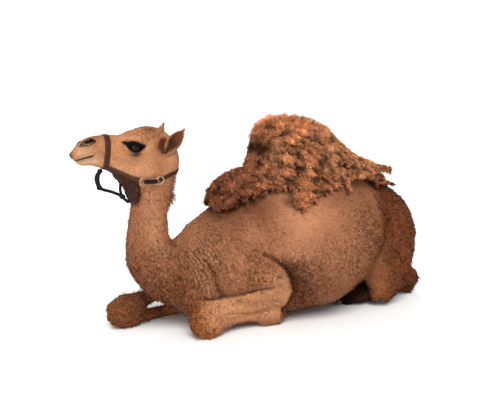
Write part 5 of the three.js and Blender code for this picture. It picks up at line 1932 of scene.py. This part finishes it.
JAW_ROWS = 50
jaw_top = spline([(-832, 915), (-805, 902), (-770, 884), (-720, 862), (-664, 841)], JAW_ROWS)
jaw_bottom = spline([(-842, 888), (-800, 872), (-756, 850), (-712, 824), (-672, 800)], JAW_ROWS)
w = np.linspace(0, 1, 15)[None, :, None]
top = np.stack([jaw_top[:, 0], np.linspace(-48, -82, JAW_ROWS), jaw_top[:, 1]], 1)[:, None]
bottom = np.stack([jaw_bottom[:, 0], np.full(JAW_ROWS, -0.4), jaw_bottom[:, 1]], 1)[:, None]
guide = top + (bottom - top) * np.sin(w * math.pi / 2)
guide = guide + np.array([0, -14.0, -14.0]) * np.sin(w * math.pi)
for side, sign in EACH_SIDE:
    strap_piece(f"{side}_jaw_leather", guide * [1, sign, 1], SLING_THICK, (-740, 0, 920),
                SHORT_STRAP, f"{side}_jaw_strap")
print("crown strap and jaw straps lie on the skin")

# %% Throat wrap
wrap_rows = stations(
    (-735, 880, -776, 850, 0, 50), (-690, 860, -742, 808, 0, 60), (-655, 830, -716, 772, 0, 68),
    (-645, 780, -708, 740, 0, 70), (-652, 745, -694, 708, 0, 62))
points, faces = loft(wrap_rows, (14, 14), 0.0, 5.0)
middle = np.array([-690.0, 0, 800])
away = unit((points - middle) * [1, 1, 0.3])
slant = points @ unit(np.array([0.75, 0, 1.0]))
furrows = (1 - np.abs(np.sin(slant * math.pi / 17 + 1.3 * noise(points, 80, 71)))) ** 1.2
points = points - away * (7.5 * furrows + 1.5 * noise(points, 30, 72))[:, None]
wrap = make("throat_leather", points, faces, leather.material, "halter_leather")
# the furrows' depth, which the leather paints as shade
carry_lay(wrap, np.stack([0 * furrows, 0 * furrows, furrows], 1))
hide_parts("throat_wrap")
print("throat wrap:", len(faces), "triangles")

# %% Rings and links
brass = Finish("brass", Metallic=1.0, Roughness=0.32)
tarnish = brass.noise(0.008, 4, 0.65)
dulled = brass.between(tarnish, 0.4, 0.7)
brass.set("Base Color", brass.mix(dulled, (0.58, 0.42, 0.22), (0.20, 0.12, 0.06)))
brass.set("Roughness", 0.22 + 0.35 * tarnish)
brass.set("Normal", brass.bump(brass.noise(0.0015, 3), 0.0002))


def wire_ring(centre, radius, stretch, turn, wire=3.2, around=72, sides=16):
    """A torus in the side view's plane, stretched along its own x and then turned."""
    t = np.arange(around)[:, None] * 2 * math.pi / around
    a = np.arange(sides)[None] * 2 * math.pi / sides
    reach = radius + wire * np.cos(a)
    x, z = reach * np.cos(t) * stretch, reach * np.sin(t)
    cos, sin = math.cos(math.radians(turn)), math.sin(math.radians(turn))
    grid = np.stack([x * cos + z * sin, wire * np.sin(a) + 0 * t, z * cos - x * sin], -1) + centre
    return outward(grid.reshape(-1, 3), cells(around + 1, sides) % (around * sides))


webbing = Finish("webbing", Roughness=0.8, Specular_IOR_Level=0.06)
weave = webbing.noise(0.0022, 3, 0.7)
webbing.set("Base Color", webbing.mix(weave, (0.004, 0.004, 0.005), (0.022, 0.020, 0.019)))
webbing.set("Normal", webbing.bump(weave, 0.0012))
PLAIT_POINTS = 90


def plait(path, swing, lift, radius, waves):
    """Three strands: strand k is path + side * swing * sin(p) + over * lift * sin(2 p), where p
    runs through waves turns with a third of a turn between strands."""
    path = spline(path, PLAIT_POINTS)
    s = np.linspace(0, 1, PLAIT_POINTS)
    along = unit(np.gradient(path, axis=0))
    side = unit(np.cross(along, [0.0, 1.0, 0.0]))
    over = np.cross(side, along)
    strands = []
    for strand in range(3):
        phase = 2 * math.pi * (waves * s + strand / 3)
        line = (path + side * (swing * np.sin(phase))[:, None]
                + over * (lift * np.sin(2 * phase))[:, None])
        strands.append(tube(line, radius, radius, 8, up=(0.1, 1.0, 0.2)))
    return joined(strands)


# Each ring: its middle on the left side, its radius, stretch and turn.
RINGS = {"front": ((-655, -81, 826), 17, 1, 0), "rear": ((-570, -91, 824), 18, 1.3, -35)}
LINK = [(-647, -84, 826), (-628, -92, 825), (-605, -95, 824), (-586, -94, 824)]
for side, sign in EACH_SIDE:
    for end, (middle, *form) in RINGS.items():
        ring = make(f"{side}_{end}_wire", *wire_ring(np.array(middle) * [1, sign, 1], *form),
                    brass.material, "halter_rings")
        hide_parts(f"{side}_{end}_ring")
    link = make(f"{side}_plait", *plait(np.array(LINK) * [1, sign, 1], 6.5, 3.5, 4.6, 2.5),
                webbing.material, "webbing")
    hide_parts(f"{side}_link")
print("rings and links:", 2 * len(RINGS) + 2)

# %% Chin loop
LOOP = [(-842, 0, 885), (-858, 0, 866), (-862, 0, 840), (-852, 0, 805), (-831, 0, 790),
        (-790, 0, 775), (-748, 0, 754), (-725, 0, 733), (-702, 0, 712)]
SHORT = [(-741, 0, 812), (-743, 0, 775), (-732, 0, 742)]
LOOP_POINTS = 140
swell = 1 + 0.6 * peak(np.arange(LOOP_POINTS), 30, 24)
rope = [tube(spline(LOOP, LOOP_POINTS), 9.0 * swell, 7.8 * swell, 16, (0, 1, 0)),
        tube(spline(SHORT, 50), 8.5, 7.0, 16, (0, 1, 0)),
        ball((-733, 0, 744), (15, 13, 13)), ball((-846, 0, 884), (13, 13, 12)),
        ball((-852, 0, 803), (14, 14, 14))]
loop = make("chin_rope", *joined(rope), webbing.material, "webbing")
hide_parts("chin_loop")
print("chin loop drawn through", len(LOOP), "points")

# %% [markdown]
# ## Studio
# A pale floor, a broad sun-like lamp high on the animal's left, a weak lamp in front of its
# breast, one behind its back, and a pale surrounding. The camera stands a little above the animal
# and looks at its left side from ahead, through a long lens.

# %% Floor, lights and camera
def add(name, data, place=(0, 0, 0), towards=None):
    """An object at a place, with its -Z side towards a point."""
    obj = bpy.data.objects.new(name, data)
    bpy.context.scene.collection.objects.link(obj)
    obj.location = place
    if towards is not None:
        obj.rotation_euler = (Vector(towards) - Vector(place)).to_track_quat("-Z", "Y").to_euler()
    return obj


def soft_light(name, place, size, power):
    """A square lamp aimed at the animal's middle."""
    lamp = bpy.data.lights.new(name, "AREA")
    lamp.size, lamp.energy = size, power
    return add(name, lamp, place, (0, 0, 0.5))


FLOOR_HALF = 400.0
ground = bpy.data.meshes.new("floor")
corners = [(x * FLOOR_HALF, y * FLOOR_HALF, 0) for x, y in ((-1, -1), (1, -1), (1, 1), (-1, 1))]
ground.from_pydata(corners, [], [(0, 1, 2, 3)])
floor_finish = Finish("floor", Roughness=0.9)
clouds = floor_finish.noise(0.9, 2)
floor_finish.set("Base Color", floor_finish.mix(clouds, (0.86, 0.86, 0.85), (0.9, 0.9, 0.89)))
ground.materials.append(floor_finish.material)
floor = add("floor", ground)

sun = bpy.data.lights.new("key", "SUN")
sun.energy, sun.angle = 2.7, math.radians(35)
add("key", sun, (-1.2, -3.4, 4.6), (0, 0, 0.5))
soft_light("fill", (-5.0, -2.5, 2.2), 3.0, 60)
soft_light("back", (2.0, 4.5, 4.2), 3.5, 90)
world = bpy.data.worlds.new("studio")
bpy.context.scene.world = world
world.use_nodes = True
sky = world.node_tree.nodes["Background"]
sky.inputs["Color"].default_value = (0.97, 0.98, 1.0, 1)
sky.inputs["Strength"].default_value = 0.66
bpy.context.scene.view_settings.view_transform = "Standard"

LOOK_AT = Vector((-0.065, 0.0, 0.63))
AZIMUTH, ELEVATION, DISTANCE = math.radians(-30), math.radians(13), 5.0
stand = LOOK_AT + DISTANCE * Vector((math.sin(AZIMUTH) * math.cos(ELEVATION),
                                     -math.cos(AZIMUTH) * math.cos(ELEVATION), math.sin(ELEVATION)))
lens = bpy.data.cameras.new("camera")
lens.lens, lens.sensor_width = 66.96, 36.0
camera = add("camera", lens, stand, LOOK_AT)
bpy.context.scene.camera = camera
print("camera at", tuple(round(value, 3) for value in stand))
